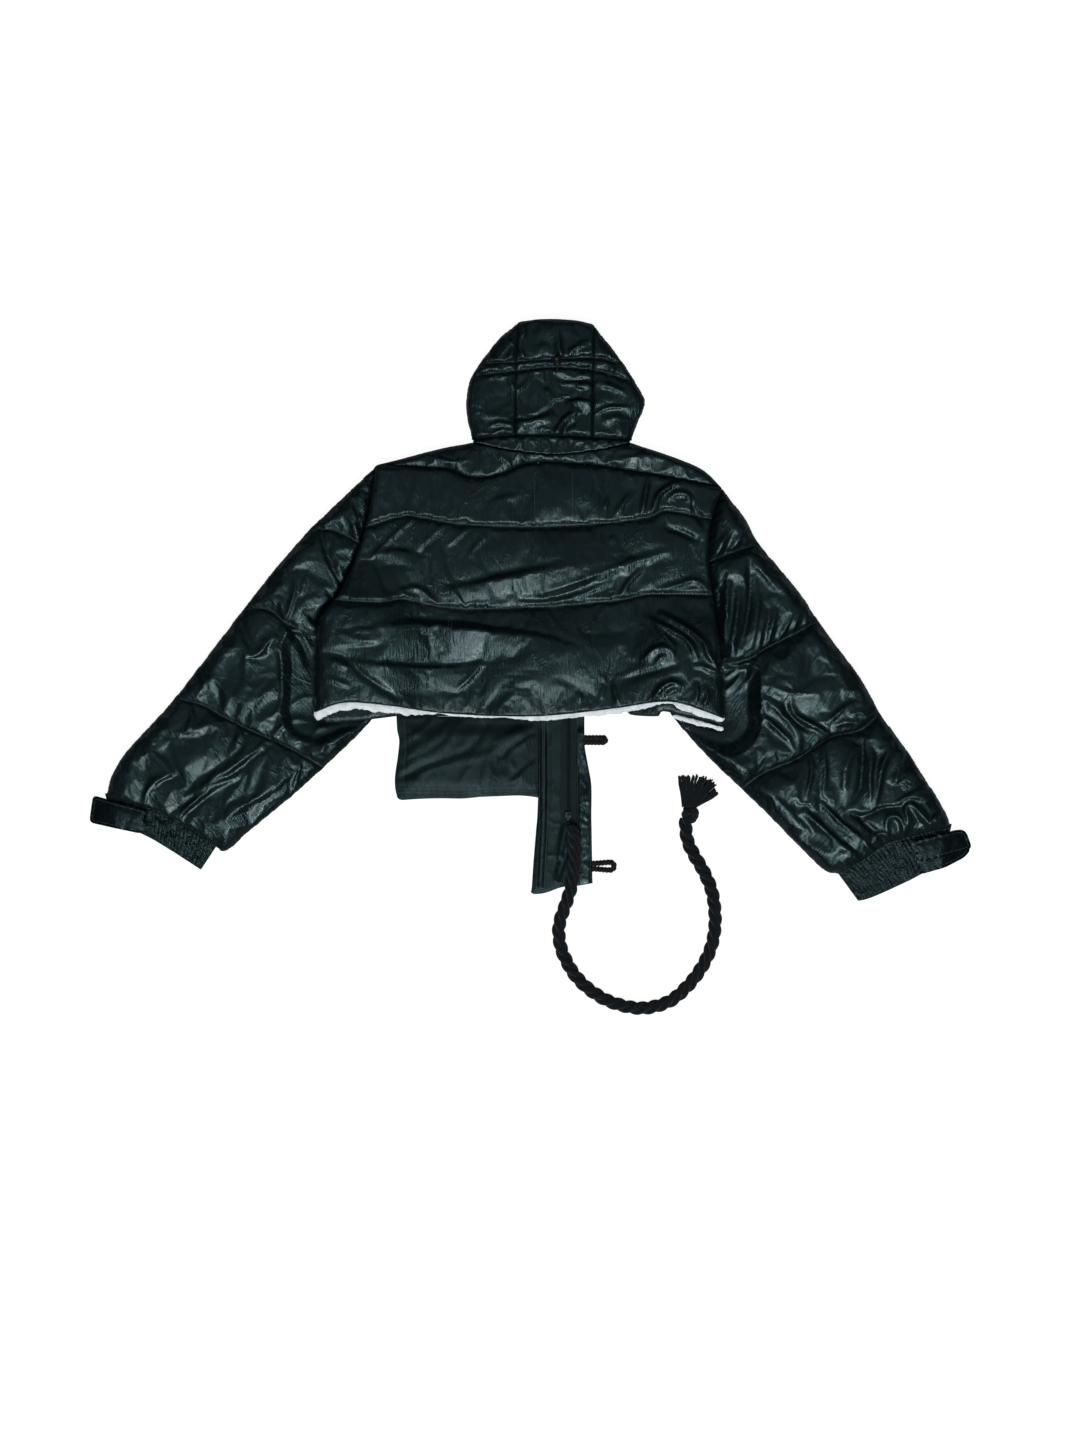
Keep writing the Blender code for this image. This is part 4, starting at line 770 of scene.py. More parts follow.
def make_studio():
    """A pale floor under soft light: a key low beyond the hem, a glint beside it, and a dim room."""
    scene = bpy.context.scene
    scene.view_settings.view_transform = "Standard"
    white = bpy.data.materials.new("pale_floor")
    white.use_nodes = True
    shader = white.node_tree.nodes["Principled BSDF"]
    for socket, value in (
        ("Base Color", (0.19, 0.19, 0.20, 1)),
        ("Roughness", 0.9),
        ("Specular IOR Level", 0.1),
        ("Emission Color", (1, 1, 1, 1)),
    ):
        shader.inputs[socket].default_value = value
    seen = wire(white.node_tree, "ShaderNodeLightPath").outputs["Is Camera Ray"]
    bright = maths(white.node_tree, "MULTIPLY_ADD", seen, FLOOR_GLOW, 0.02)
    white.node_tree.links.new(bright, shader.inputs["Emission Strength"])
    mesh = bpy.data.meshes.new("floor")
    corners = [(x * FLOOR_REACH, y * FLOOR_REACH, FLOOR_LEVEL) for x, y in ((-1, -1), (1, -1), (1, 1), (-1, 1))]
    mesh.from_pydata([Vector(p) for p in corners], [], [(0, 1, 2, 3)])
    mesh.materials.append(white)
    in_scene("floor", mesh)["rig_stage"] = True

    place = (0.0, -KEY_DISTANCE * math.sin(KEY_TILT), KEY_DISTANCE * math.cos(KEY_TILT))
    make_light("key", place, KEY_SIZE, KEY_RADIANCE)
    make_light("glint", (0.3, -2.3, 2.6), 0.5, 42.0)

    world = bpy.data.worlds.new("room")
    world.use_nodes = True
    scene.world = world
    tree = world.node_tree
    tree.nodes.clear()
    above = parts_of(tree, wire(tree, "ShaderNodeTexCoord").outputs["Generated"])[2]
    ceiling = spread(tree, above, 0.35, 0.99, 0.03, 0.36)
    dim = put(tree, "ShaderNodeBackground", {"Color": (0.80, 0.94, 1.0, 1), "Strength": ceiling})
    pale = put(tree, "ShaderNodeBackground", {"Color": (0.96, 0.97, 0.98, 1), "Strength": 0.95})
    seen = wire(tree, "ShaderNodeLightPath").outputs["Is Camera Ray"]
    wire(tree, "ShaderNodeOutputWorld", {0: put(tree, "ShaderNodeMixShader", {0: seen, 1: dim, 2: pale})})


def turned(angle, axis):
    """The matrix of a turn about the z axis or the x axis."""
    c, s = math.cos(angle), math.sin(angle)
    return np.array([[c, -s, 0], [s, c, 0], [0, 0, 1]] if axis == "z" else [[1, 0, 0], [0, c, -s], [0, s, c]])


# ---------------------------------------------------------------- rope: a zip pull as long as a forearm
ON_FLOOR = ROPE_DIAMETER / 2 + 0.5
ON_PLACKET = PLACKET_THICKNESS + ROPE_DIAMETER / 2 + 0.9
ROPE_ROUTE = [  # x, y, z of the rope's middle, from the slider to the knot (mm)
    (60, -321, ON_PLACKET), (66, -340, ON_PLACKET), (67, -372, ON_PLACKET), (64, -402, ON_PLACKET),
    (58, -426, ON_PLACKET), (52, -444, ON_PLACKET - 4.5), (46, -461, ON_FLOOR + 0.5), (43, -479, ON_FLOOR),
    (46, -503, ON_FLOOR), (54, -523, ON_FLOOR), (67, -545, ON_FLOOR), (89, -567, ON_FLOOR),
    (122, -586, ON_FLOOR), (166, -595, ON_FLOOR), (206, -586, ON_FLOOR), (233, -565, ON_FLOOR),
    (254, -539, ON_FLOOR), (269, -510, ON_FLOOR), (276, -482, ON_FLOOR), (277, -452, ON_FLOOR),
    (272, -419, ON_FLOOR), (260, -390, ON_FLOOR), (246, -366, ON_FLOOR), (236, -344, ON_FLOOR),
    (233, -321, ON_FLOOR), (234, -311, ON_FLOOR),
]
ROPE_TURN = 2 * math.pi / 0.054  # one full turn of the three strands in 54 mm
KNOT_CENTRE = (240, -304, 11.8)
KNOT_SIZE = (13.5, 15.0, 10.9)  # half widths of the knot
TASSEL_ROOTS = (229.5, -291.0), (245.5, -289.0)  # where its left strand and its right one leave the knot
TASSEL_FAN = (math.radians(97), math.radians(27))  # from its left strand to its right one
TASSEL_LENGTHS = [(0.0, 49), (0.22, 49), (0.42, 52), (0.66, 53), (0.78, 49), (0.84, 44), (1.0, 40)]


def make_rope():
    route = at(through(ROPE_ROUTE, 2.4))
    narrow = 1 - 0.45 * np.exp(-np.arange(len(route)) / 2.5)  # drawn together where it leaves the slider
    rope = swept("laid_rope", route, lobed(3, 1.05 * ROPE_DIAMETER * MM, 42), "rope", ROPE_TURN, swell=narrow)
    return rope, route


def make_knot():
    """The rope's three strands wound round each other into a ball, each turn at its own tilt."""
    centre, size = np.array(KNOT_CENTRE), np.array(KNOT_SIZE)
    points, faces, grains = [], [], []
    strand, stations, sides = 5.2, 56, 18
    section = lobed(3, 2 * strand * MM, sides)
    unwound = np.meshgrid(np.linspace(0, 0.08, stations), np.linspace(0, 0.03, sides), indexing="ij")
    for tilt, lean, lift in ((0.15, 0.10, 0.0), (1.25, 0.55, 0.2), (2.30, -0.45, -0.2), (0.75, 1.25, 0.1)):
        turn = np.linspace(0, 2 * math.pi, stations)
        circle = np.column_stack([np.cos(turn), np.sin(turn), 0.18 * np.sin(2 * turn + lift)])
        wound = circle @ turned(lean + 1.2, "x").T @ turned(tilt, "z").T
        wound /= np.linalg.norm(wound, axis=1)[:, None]
        loop = swept("turn", at(centre + wound * (size - strand)), section, "rope", 2 * math.pi / 0.034, caps=False)
        start = len(points)
        points += [v.co[:] for v in loop.data.vertices]
        faces += [[v + start for v in face.vertices] for face in loop.data.polygons]
        grains.append(np.stack(unwound, axis=-1).reshape(-1, 2))
        bpy.data.objects.remove(loop)
    core, start = bmesh.new(), len(points)
    bmesh.ops.create_icosphere(core, subdivisions=3, radius=1)
    for v in core.verts:
        v.co = Vector(at(centre + np.array(v.co) * (size - 3.4))[0])
    points += [v.co[:] for v in core.verts]
    faces += [[v.index + start for v in face.verts] for face in core.faces]
    grains.append(np.array([v.co[:2] for v in core.verts]))
    core.free()
    knot = mesh_object("wound_knot", points, faces, "rope", np.vstack(grains))
    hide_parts("rope_knot")
    return knot


def tree_of(name, **sizes):
    """A new Geometry Nodes tree: a geometry, named sizes and a finish in, a geometry out."""
    tree = bpy.data.node_groups.new(name, "GeometryNodeTree")

    def socket(title, kind, in_out="INPUT"):
        return tree.interface.new_socket(name=title, in_out=in_out, socket_type=f"NodeSocket{kind}")

    socket("Geometry", "Geometry")
    for title, value in sizes.items():
        socket(title, "Int" if isinstance(value, int) else "Float").default_value = value
    socket("Finish", "Material")
    socket("Geometry", "Geometry", "OUTPUT")
    given, result = tree.nodes.new("NodeGroupInput"), tree.nodes.new("NodeGroupOutput")
    return tree, given.outputs, result.inputs


def painted(tree, instances, finish):
    """Instances made real, with their finish."""
    real = put(tree, "GeometryNodeRealizeInstances", {0: instances})
    return put(tree, "GeometryNodeSetMaterial", {"Geometry": real, "Material": finish})


def spots_along(tree, given):
    """Points a pitch apart along each line."""
    curve = put(tree, "GeometryNodeMeshToCurve", {"Mesh": given["Geometry"]})
    spots = wire(tree, "GeometryNodeCurveToPoints", {"Curve": curve}, mode="LENGTH")
    tree.links.new(given["Pitch"], spots.inputs["Length"])
    return spots.outputs


def grown(name, base, tree, **values):
    """The mesh that a Geometry Nodes tree makes from a base object, which it takes the place of."""
    modifier = base.modifiers.new("grow", "NODES")
    modifier.node_group = tree
    for item in tree.interface.items_tree:
        key = item.name.lower().replace(" ", "_")
        if item.in_out == "INPUT" and key in values:
            modifier[item.identifier] = values[key]
    base.name = name
    return evaluated(base)


def lines_object(name, lines, **per_point):
    """Polylines (m) as one object of loose edges, with float attributes on their points."""
    points, edges = [], []
    for line in lines:
        edges += [(len(points) + k, len(points) + k + 1) for k in range(len(line) - 1)]
        points += [Vector(p) for p in line]
    mesh = bpy.data.meshes.new(name)
    mesh.from_pydata(points, edges, [])
    for title, values in per_point.items():
        values = np.concatenate(values).astype(np.float32)
        mesh.attributes.new(title, "FLOAT", "POINT").data.foreach_set("value", values)
    return in_scene(name, mesh)


def yarn_tree():
    """Sweeps a small round yarn along each line, thinner or thicker by the line's own 'thick' value."""
    tree, given, result = tree_of("yarn", Radius=0.001, Sides=6)
    curve = put(tree, "GeometryNodeMeshToCurve", {"Mesh": given["Geometry"]})
    thick = put(tree, "GeometryNodeInputNamedAttribute", {"Name": "thick"}, data_type="FLOAT")
    curve = put(tree, "GeometryNodeSetCurveRadius", {"Curve": curve, "Radius": thick})
    circle = put(tree, "GeometryNodeCurvePrimitiveCircle", {"Resolution": given["Sides"], "Radius": given["Radius"]})
    ends = {"Curve": curve, "Profile Curve": circle, "Scale": thick, "Fill Caps": True}
    soft = put(tree, "GeometryNodeSetShadeSmooth", {0: put(tree, "GeometryNodeCurveToMesh", ends)})
    tree.links.new(painted(tree, soft, given["Finish"]), result["Geometry"])
    return tree


# ---------------------------------------------------------------- laid-in folds
# Each row: rise of the crest (mm, below 0 for a trough), width of its left side and of its right side
# going along it (mm), and then its points as x, y pairs on the squares of the flat-lay board.
FLAT_FACE = 19  # a fold's side wider than this (mm) is a flat face
SHARP_FOLD = 9.5  # a fold with a side no wider than this (mm) has an edge along its crest
FOLDS = {
    "back": [
        (4.5, 9, 24, 446, 591, 480, 584, 514, 578), (8, 12, 42, 492, 581, 530, 574, 568, 567, 608, 561),
        (-3, 10, 12, 520, 601, 556, 596, 590, 583, 603, 573),
        (5, 11, 16, 540, 594.5, 580, 581, 616.5, 568, 667.5, 552.5),
        (2.5, 6, 7, 550, 605, 582, 595, 611, 582), (4.5, 7, 9, 620, 597, 629, 582, 642, 570),
        (4, 8, 8, 656, 592, 676, 586, 695.6, 582, 709.6, 594.5), (4, 7, 9, 402, 592, 419, 589.5, 436, 604),
        (3, 7, 7, 402, 592, 415, 602, 432, 606), (3, 6, 7, 450.5, 588, 462, 602),
        (3, 6, 8, 469.7, 528, 449, 547), (3, 6, 8, 487.5, 536, 470, 555),
        (3, 7, 9, 418.7, 516.7, 396, 536, 374, 557.5), (3, 7, 9, 446.7, 524, 417, 552),
        (4.5, 8, 20, 376, 556, 395, 553, 416, 556), (4.5, 6, 22, 494, 610, 511, 609, 528, 610),
        (3, 9, 17, 492, 503, 508, 499, 523, 496), (6.5, 6, 7, 647, 482, 644, 500, 641, 515),
        (5, 6, 9, 630, 496, 622, 506, 616, 515), (4, 5, 6, 608, 500, 603, 510),
        (7.5, 7, 8, 652, 511.6, 658.6, 496, 672.6, 486, 677.8, 486),
        (6, 6, 7, 667.6, 501, 675, 495, 686.7, 496, 689, 506.5),
        (-5, 7, 9, 688, 501, 697, 516, 704.5, 529.5), (-5, 8, 10, 662.5, 528, 680, 533, 698, 542),
        (2.5, 6, 6, 607.6, 545, 614, 537), (11, 12, 58, 380, 628, 416, 625, 447, 627, 486, 632),
        (8, 10, 34, 462, 629, 508, 634, 560, 643), (5.5, 7, 36, 352, 662, 396, 667, 440, 669, 486, 665),
        (4, 6, 16, 484, 662, 474, 674, 461, 688),
        (-4, 10, 12, 326, 653, 346, 657, 362, 672, 379.6, 685, 398, 697), (3, 7, 8, 334, 661, 348, 668),
        (3, 7, 8, 332, 679, 350, 686), (5, 20, 40, 540, 655, 585, 650, 630, 645),
        (-4, 10, 12, 625, 680, 650, 672, 674, 666),
        (9, 8, 9, 660, 615, 681, 626.5, 701, 642, 708, 657, 720.6, 674),
        (8.5, 7, 8, 646, 619, 671.5, 632, 687, 643, 695, 659), (6, 7, 8, 654, 627, 674, 649),
        (7, 7, 12, 642, 659, 655, 649, 668, 650, 672, 658), (5, 6, 8, 655, 662, 664, 655),
        (5, 6, 7, 695, 665.8, 708, 670, 720.6, 675.6), (8, 8, 9, 653, 698, 660, 688, 670, 683, 680, 686),
        (5, 6, 6, 665, 696, 673, 690, 678, 692), (6, 6, 8, 693, 684, 696, 693, 693.5, 703),
        (6, 6, 7, 703, 688, 706, 697, 702, 706), (6, 6, 7, 612.6, 685, 615, 695, 618, 704),
        (4, 6, 6, 579, 692, 580, 703), (3, 6, 6, 600, 688, 602, 700),
        (3, 8, 9, 340, 632, 360, 640, 382, 642),
    ],
    "yoke": [
        (4.5, 6, 40, 488, 449, 518, 444, 550, 448), (4, 6, 26, 608, 453, 650, 450, 698, 463),
        (3, 7, 8, 497, 455, 507, 462, 512, 470), (3, 6, 8, 520, 452, 526, 462, 540, 466),
        (2.5, 6, 6, 552, 452, 560, 463), (3, 10, 14, 610, 462, 650, 458, 690, 470),
        (2.5, 7, 8, 430, 458, 450, 463, 470, 461), (2.5, 6, 7, 590, 452, 600, 462),
    ],
    "sleeve_left": [
        (5, 10, 16, 262, 748, 248, 757, 232, 768, 219, 776, 204, 787, 188, 801),
        (4.5, 7, 10, 226, 781, 208, 790, 196, 801, 184, 812),
        (4.5, 9, 12, 243, 775, 222, 783, 205, 795, 192, 806),
        (-3.5, 8, 9, 238, 772, 215, 786, 194, 798, 175, 809),
        (4.5, 7, 9, 176, 772, 160, 780, 150, 791, 147, 802), (3, 6, 7, 158, 787, 152, 797),
        (4, 14, 20, 224, 722, 205, 727, 183, 733), (4, 12, 18, 296, 772, 278, 785, 255, 800, 228, 817),
        (3, 7, 9, 301, 770, 296, 785), (4, 9, 14, 244, 733, 236, 745),
        (3.5, 6, 7, 192, 706, 194, 719, 190, 728), (4, 8, 9, 278, 731, 290, 721, 303, 719),
        (3, 6, 8, 289, 707, 304, 698, 315, 697), (3, 7, 8, 312, 739, 318, 729, 329, 727),
        (3, 8, 10, 322, 755, 326, 742), (4, 7, 10, 299, 577, 296, 592, 291, 610, 285, 630),
        (3, 6, 7, 307, 578, 302, 596), (3, 6, 6, 282, 598, 284, 615, 287, 622),
        (-5, 8, 9, 322, 530, 331, 562, 345, 590), (-4, 7, 8, 330, 532, 334, 560, 342, 576),
        (3.5, 8, 9, 325, 528, 333, 556, 343, 580), (4, 8, 12, 271, 638, 264, 650, 256, 656),
        (-4, 12, 14, 242, 617, 247, 635, 256, 652), (4, 12, 14, 280, 618, 292, 640, 303, 670),
        (-4, 9, 10, 288, 622, 303, 645, 312, 668), (3, 8, 10, 298, 624, 312, 650),
        (4, 12, 14, 352, 516, 358, 540, 352, 566), (3, 8, 9, 352, 508, 359, 523),
    ],
    "sleeve_right": [
        (7, 10, 12, 853, 748, 845, 765, 841, 790), (4, 7, 8, 822, 745, 824, 770, 822, 793),
        (4, 7, 8, 808, 747, 810, 772, 805, 795), (7, 9, 12, 870, 752, 868, 775, 868, 800),
        (7, 9, 12, 888, 745, 880, 768, 876, 790, 873, 803),
        (-5, 8, 9, 861, 742, 860, 765, 857, 790, 850, 800),
        (5, 8, 10, 905, 772, 893, 780, 896, 770, 901, 750),
        (-5, 8, 12, 848, 812, 862, 815, 880, 808, 900, 806), (4, 7, 9, 893, 803, 905, 797, 926, 797),
        (4, 9, 12, 905, 795, 925, 789, 938, 795),
        (7, 5.5, 6.5, 884, 828, 885, 819, 890, 815.5, 896, 817, 900, 823, 901, 836),
        (6.5, 5.5, 6.5, 873.5, 841, 874.5, 834, 880, 832.5, 885, 835.5, 888.5, 843),
        (5.5, 5.5, 6.5, 863, 843, 870, 849, 877, 852, 882, 848),
        (7.5, 6, 12, 902, 834, 905, 822, 903, 810, 906, 804, 912, 807, 922, 817, 929, 826),
        (6.5, 5.5, 7, 926, 828, 930, 820, 934, 815, 935.5, 823, 949, 826),
        (5, 7, 8, 823, 805, 840, 822, 856, 835, 866, 844),
        (6, 10, 16, 804, 812, 826, 832, 842, 846, 856, 858), (-5, 9, 10, 855, 815, 875, 832, 892, 846),
        (4, 7, 8, 845, 868, 858, 870, 868, 868), (4, 8, 9, 835, 858, 848, 866, 858, 873),
        (6, 7, 9, 790, 706, 796, 716, 812, 725, 826, 733), (-5, 8, 9, 783, 704, 790, 716, 805, 729),
        (5, 12, 16, 768, 702, 782, 714, 797, 731), (5, 7, 9, 766, 719, 776, 729, 788, 740),
        (5, 9, 12, 826, 722, 840, 710, 852, 704), (4, 7, 8, 846, 716, 856, 712, 866, 716),
        (4, 7, 8, 833, 726, 846, 722, 860, 724), (4, 6, 7, 868, 712, 878, 709, 886, 712),
        (5, 22, 28, 768, 686, 800, 694, 838, 690), (7, 10, 12, 726, 585, 724, 610, 722, 640, 721, 664),
        (-6, 9, 10, 718, 590, 719, 620, 720, 655), (5, 8, 9, 738, 592, 735, 620, 731, 645, 727, 665),
        (-5, 9, 9, 748, 562, 748, 595, 744, 625, 736, 655), (5, 9, 12, 757, 600, 754, 625, 750, 645),
        (4, 6, 8, 764, 612, 760, 630, 757, 648), (5, 7, 8, 774, 612, 771, 625, 766, 644),
        (4, 6, 7, 788, 620, 782, 632, 776, 641), (4, 6, 7, 797, 618, 792, 628, 790, 637),
        (3, 6, 6, 806, 615, 803, 630), (4, 7, 8, 723.7, 537, 719, 549, 713.5, 561),
        (4, 6, 8, 740, 537, 735, 546, 728.8, 553.7), (-4, 7, 8, 731, 535, 726, 548, 719, 560),
        (4, 6, 7, 751, 656, 740, 668, 724, 678), (5, 7, 8, 745, 668, 735, 682, 722, 694),
        (4, 6, 7, 754, 664, 748, 678, 738, 692),
    ],
    "hood": [
        (5, 5, 21, 566, 404, 579, 402.5, 592, 403), (5, 8, 10, 555, 444, 558, 430, 566, 420, 577, 414),
        (-3, 8, 8, 562, 443, 566, 430, 578, 422), (4, 9, 12, 516, 426, 530, 422, 543, 420, 552, 417),
        (-3.5, 8, 9, 512, 419, 530, 420, 545, 413, 560, 404, 590, 397),
        (3.5, 7, 8, 533, 377, 526, 386, 517, 393), (3, 6, 7, 549, 392, 546, 396),
        (4, 8, 10, 560, 340, 559, 350, 563, 357), (3, 7, 7, 543, 345, 541, 354),
        (3.5, 7, 8, 525, 338, 523, 326), (3.5, 7, 8, 584, 346, 572, 352, 570, 358),
        (4, 9, 10, 513, 348, 511, 358, 507, 362), (3.5, 6, 7, 522, 358, 523, 352),
        (3.5, 7, 8, 490, 428, 500, 425, 514, 428), (3, 6, 7, 492, 436, 503, 432, 514, 435),
        (3, 7, 8, 510, 385, 517, 391), (4, 10, 12, 600, 385, 612, 389, 622, 394),
        (4, 7, 8, 596, 416, 606, 410, 624, 409), (3.5, 8, 10, 602, 425, 612, 420, 624, 420),
        (3, 6, 7, 602, 362, 610, 368, 616, 372), (3, 6, 7, 606, 378, 614, 370),
        (-3, 7, 8, 556, 381, 575, 382, 590, 381), (3.5, 7, 9, 575, 389, 590, 386),
        (3, 8, 9, 498, 357, 506, 349, 512, 341),
    ],
}


def fold_rise(piece, p):
    """How far the laid-in folds raise or lower each point, fading out at the folds' ends."""
    total = np.zeros(len(p))
    for height, left, right, *spots in FOLDS.get(piece, []):
        line = through(px(*spots), 4)
        low, high = line.min(0) - max(left, right), line.max(0) + max(left, right)
        close = np.flatnonzero(((p > low) & (p < high)).all(1))
        if not len(close):
            continue
        away, side, along = nearest(p[close], line)
        length = length_of(line)
        fade = np.sqrt(np.clip(np.minimum(along, length - along) / (0.3 * length) + 0.12, 0, 1))
        width = np.where(side >= 0, left, right)
        s = np.clip(away / width, 0, 1)
        total[close] += height * fade * np.where(width > FLAT_FACE, 1 - s, (1 - s) ** 2 * (1 + 0.8 * s))
    return total


def fold_lines(piece):
    """The crests of the sharper folds, which the mesh gets an edge along."""
    return [through(px(*spots)) for _, left, right, *spots in FOLDS.get(piece, []) if min(left, right) <= SHARP_FOLD]


# ---------------------------------------------------------------- heights
def lift(p):
    """How far the body's lower corners are raised by the sleeves under them."""
    (x, y), (across, down) = p.T, LIFT_RUN
    left = smooth((LIFT_LEFT[0] - x) / across) * smooth((LIFT_LEFT[1] - y) / down)
    right = smooth((x - LIFT_RIGHT[0]) / across) * smooth((LIFT_RIGHT[1] - y) / down)
    return CORNER_LIFT * np.maximum(left, right)


def body_outline():
    sides = ARMHOLE_LEFT, SIDE_LEFT, HEM_BACK, SIDE_RIGHT, ARMHOLE_RIGHT, SHOULDER_RIGHT, NECK, SHOULDER_LEFT
    return joined(*curves(sides))


def from_body_fold(p):
    return to_nearest(p, curves([SIDE_LEFT, SIDE_RIGHT, SHOULDER_LEFT, SHOULDER_RIGHT], 12))


def front_top(p):
    return lift(p) + FRONT_RIM + (FRONT_THICKNESS - FRONT_RIM) * rounded(from_body_fold(p), RIM_REACH)


def on_front(p):
    return front_top(p) + LAYER_GAP


STEEP_REACH = 5.0  # from a steep seam to the top of the chamber on its hood side (mm)


def quilted(level, seams, folds, edge_height, cut_edges=(), steep=()):
    """The height function of a quilted surface: low at its seams and folds, high between them.

    At each steep seam the chamber on the hood's side drops straight down to the stitches.
    """
    seam, puff, reach = LEVELS[level]

    def height(p):
        rise = rounded(to_nearest(p, seams), reach)
        for line in steep:
            away, side, _ = nearest(p, line)
            rise = np.minimum(rise, rounded(away, np.where(side > 0, STEEP_REACH, 1.3 * reach)))
        base = np.full(len(p), float(seam))
        if folds:
            rim = to_nearest(p, folds)
            base = edge_height + (seam - edge_height) * rounded(rim, RIM_REACH)
            rise = rise * rounded(rim, reach * 0.8)
        for line in cut_edges:
            rise = rise * (0.75 + 0.25 * rounded(distance(p, line), 14))
        return base + puff * rise

    return height


def puckers(p, seams, size, height, seed):
    """Short uneven pleats that run away from each seam on both of its sides."""
    total = np.zeros(len(p))
    for k, line in enumerate(seams):
        away, side, along = nearest(p, line)
        near = away < PUCKER_REACH
        if not near.any():
            continue
        lane = np.column_stack([along[near], side[near] * 400 + away[near] * 0.16])
        wave = uneven(lane, size, seed + 11 * k, 2)
        depth = 8 + 7 * uneven(np.column_stack([along[near], side[near] * 90]), 70, seed + 5, 1)
        reach = away[near]
        total[near] += 0.5 * height * wave * np.clip(reach / 5, 0, 1) * np.exp(-reach / depth)
    return total


# ---------------------------------------------------------------- filled panels
def fill(loop, creases, step):
    """Triangles that fill an outline, with edges along its creases. The outline's points come first."""
    points = [tuple(p) for p in loop]
    lines = [(k, (k + 1) % len(loop)) for k in range(len(loop))]
    kept = []
    for crease in creases:
        if len(crease) < 2:
            continue
        within = inside(crease, loop) & (distance(crease, ring(loop)) > step * CREASE_GAP)
        for other in kept:
            within &= distance(crease, other) > step * CREASE_SPACE
        run = []
        for k, point in enumerate(crease):
            away = np.linalg.norm(loop - point, axis=1)
            if within[k]:
                run.append(len(points))
                points.append(tuple(point))
            elif away.min() < step and within[min(k + 1, len(crease) - 1)] != within[max(k - 1, 0)]:
                run.append(int(away.argmin()))
            else:
                run.append(None)
        lines += [(a, b) for a, b in zip(run, run[1:], strict=False) if a is not None and b is not None and a != b]
        if within.sum() > 1:
            kept.append(crease[within])
    low, high = loop.min(0), loop.max(0)
    rows = np.arange(low[1], high[1], step * ROW_STEP)
    columns = np.arange(low[0], high[0], step)
    grid = np.array([(x + (k % 2) * step / 2, y) for k, y in enumerate(rows) for x in columns])
    grid = grid + np.random.default_rng(5).uniform(-JITTER, JITTER, grid.shape) * step
    grid = grid[inside(grid, loop)]
    for line in (ring(loop), *kept):
        grid = grid[distance(grid, line) > step * CREASE_GAP]
    points += [tuple(p) for p in grid]
    places, _, faces, first, _, _ = delaunay_2d_cdt([Vector(p) for p in points], lines, [], 1, 1e-4)
    index = []
    for place, sources in zip(places, first, strict=True):
        if not sources:
            points.append(tuple(place))
        index.append(sources[0] if sources else len(points) - 1)
    return np.array(points), [[index[k] for k in face] for face in faces]


def grain_map(points, turn):
    """Cloth coordinates (m) of points (mm), with the grain turned by an angle."""
    c, s = math.cos(turn), math.sin(turn)
    return (points[:, :2] @ np.array([[c, -s], [s, c]])) * MM


PANELS = {}  # each filled panel: its object and what the cloth solver needs to know about it


def panel(name, edges, creases, top, bottom, seams, grain_turn=0.0, held=None, step=None, crests=(), under=UNDER_STEP):
    """A closed padded piece of shell cloth: a finely divided upper side over a plain lower one.

    edges are the outline's stretches, each with its kind: "fold" where the two sides are one cloth,
    "seam" or "cut" where a rim joins them. held(p) is how firmly, 0 to 1, the upper points stay put.
    """
    step = step or CLOTH_STEP
    loop = joined(*[edge for edge, _ in edges])
    kinds = np.concatenate([[kind] * (len(edge) - 1) for edge, kind in edges])
    loop = loop + outward(loop) * SEAM_LAP / 2
    flat, upper_faces = fill(loop, [*creases, *crests], step)
    low_flat, lower_faces = fill(loop, [], under)
    n, shift = len(loop), len(flat)
    shared = (kinds == "fold") & (np.roll(kinds, 1) == "fold")
    renumber = {shift + k: int(k) for k in np.flatnonzero(shared)}
    lower_faces = [[renumber.get(k + shift, k + shift) for k in reversed(face)] for face in lower_faces]
    rim = []
    for k in range(n):
        m = (k + 1) % n
        face = [k, renumber.get(shift + k, shift + k), renumber.get(shift + m, shift + m), m]
        face = [v for i, v in enumerate(face) if v != face[i - 1]]
        if len(set(face)) >= 3:
            rim.append(face)
    faces = [*upper_faces, *lower_faces, *rim]
    used = sorted({v for face in faces for v in face})
    new = {old: k for k, old in enumerate(used)}
    faces = [[new[v] for v in face] for face in faces]
    points = np.vstack([np.column_stack([flat, top(flat)]), np.column_stack([low_flat, bottom(low_flat)])])[used]
    used = np.array(used)
    spots = points[:, :2]
    near = to_nearest(spots, seams)
    grain = grain_map(points, grain_turn)
    pucker = np.exp(-near / PUCKER_FADE)
    piece = mesh_object(f"{name}_shell", at(points), faces, "coated_shell", grain, pucker, sharp=180)
    outward_faces(piece)
    firm = np.where(near < ON_SEAM, 1.0, 0.0)
    for line in crests:
        crest = distance(spots, line) < step * 0.5
        firm[crest] = np.maximum(firm[crest], 0.35)
    if held is not None:
        firm = np.maximum(firm, held(spots))
    firm[(used < n) | (used >= shift)] = 1.0
    PANELS[name] = {"object": piece, "firm": firm}
    return stands_for(piece, name)


GROWTH = {"back": 0.010, "yoke": 0.016}  # how much a panel's cloth grows, where it isn't the common amount
COMMON_GROWTH = 0.032
FRAMES = 26
CLOTH = {  # the cloth solver's settings
    "vertex_group_mass": "sewn",
    "quality": 5,
    "mass": 0.12,
    "tension_stiffness": 14,
    "compression_stiffness": 14,
    "shear_stiffness": 7,
    "bending_stiffness": 0.04,
    "use_pressure": True,
    "uniform_pressure_force": 2.2,
    "air_damping": 4,
}
LARGEST_MOVE = 0.014  # how far the solver may carry a point (m)


def places_of(mesh):
    places = np.empty(len(mesh.vertices) * 3, np.float32)
    mesh.vertices.foreach_get("co", places)
    return places.reshape(-1, 3)


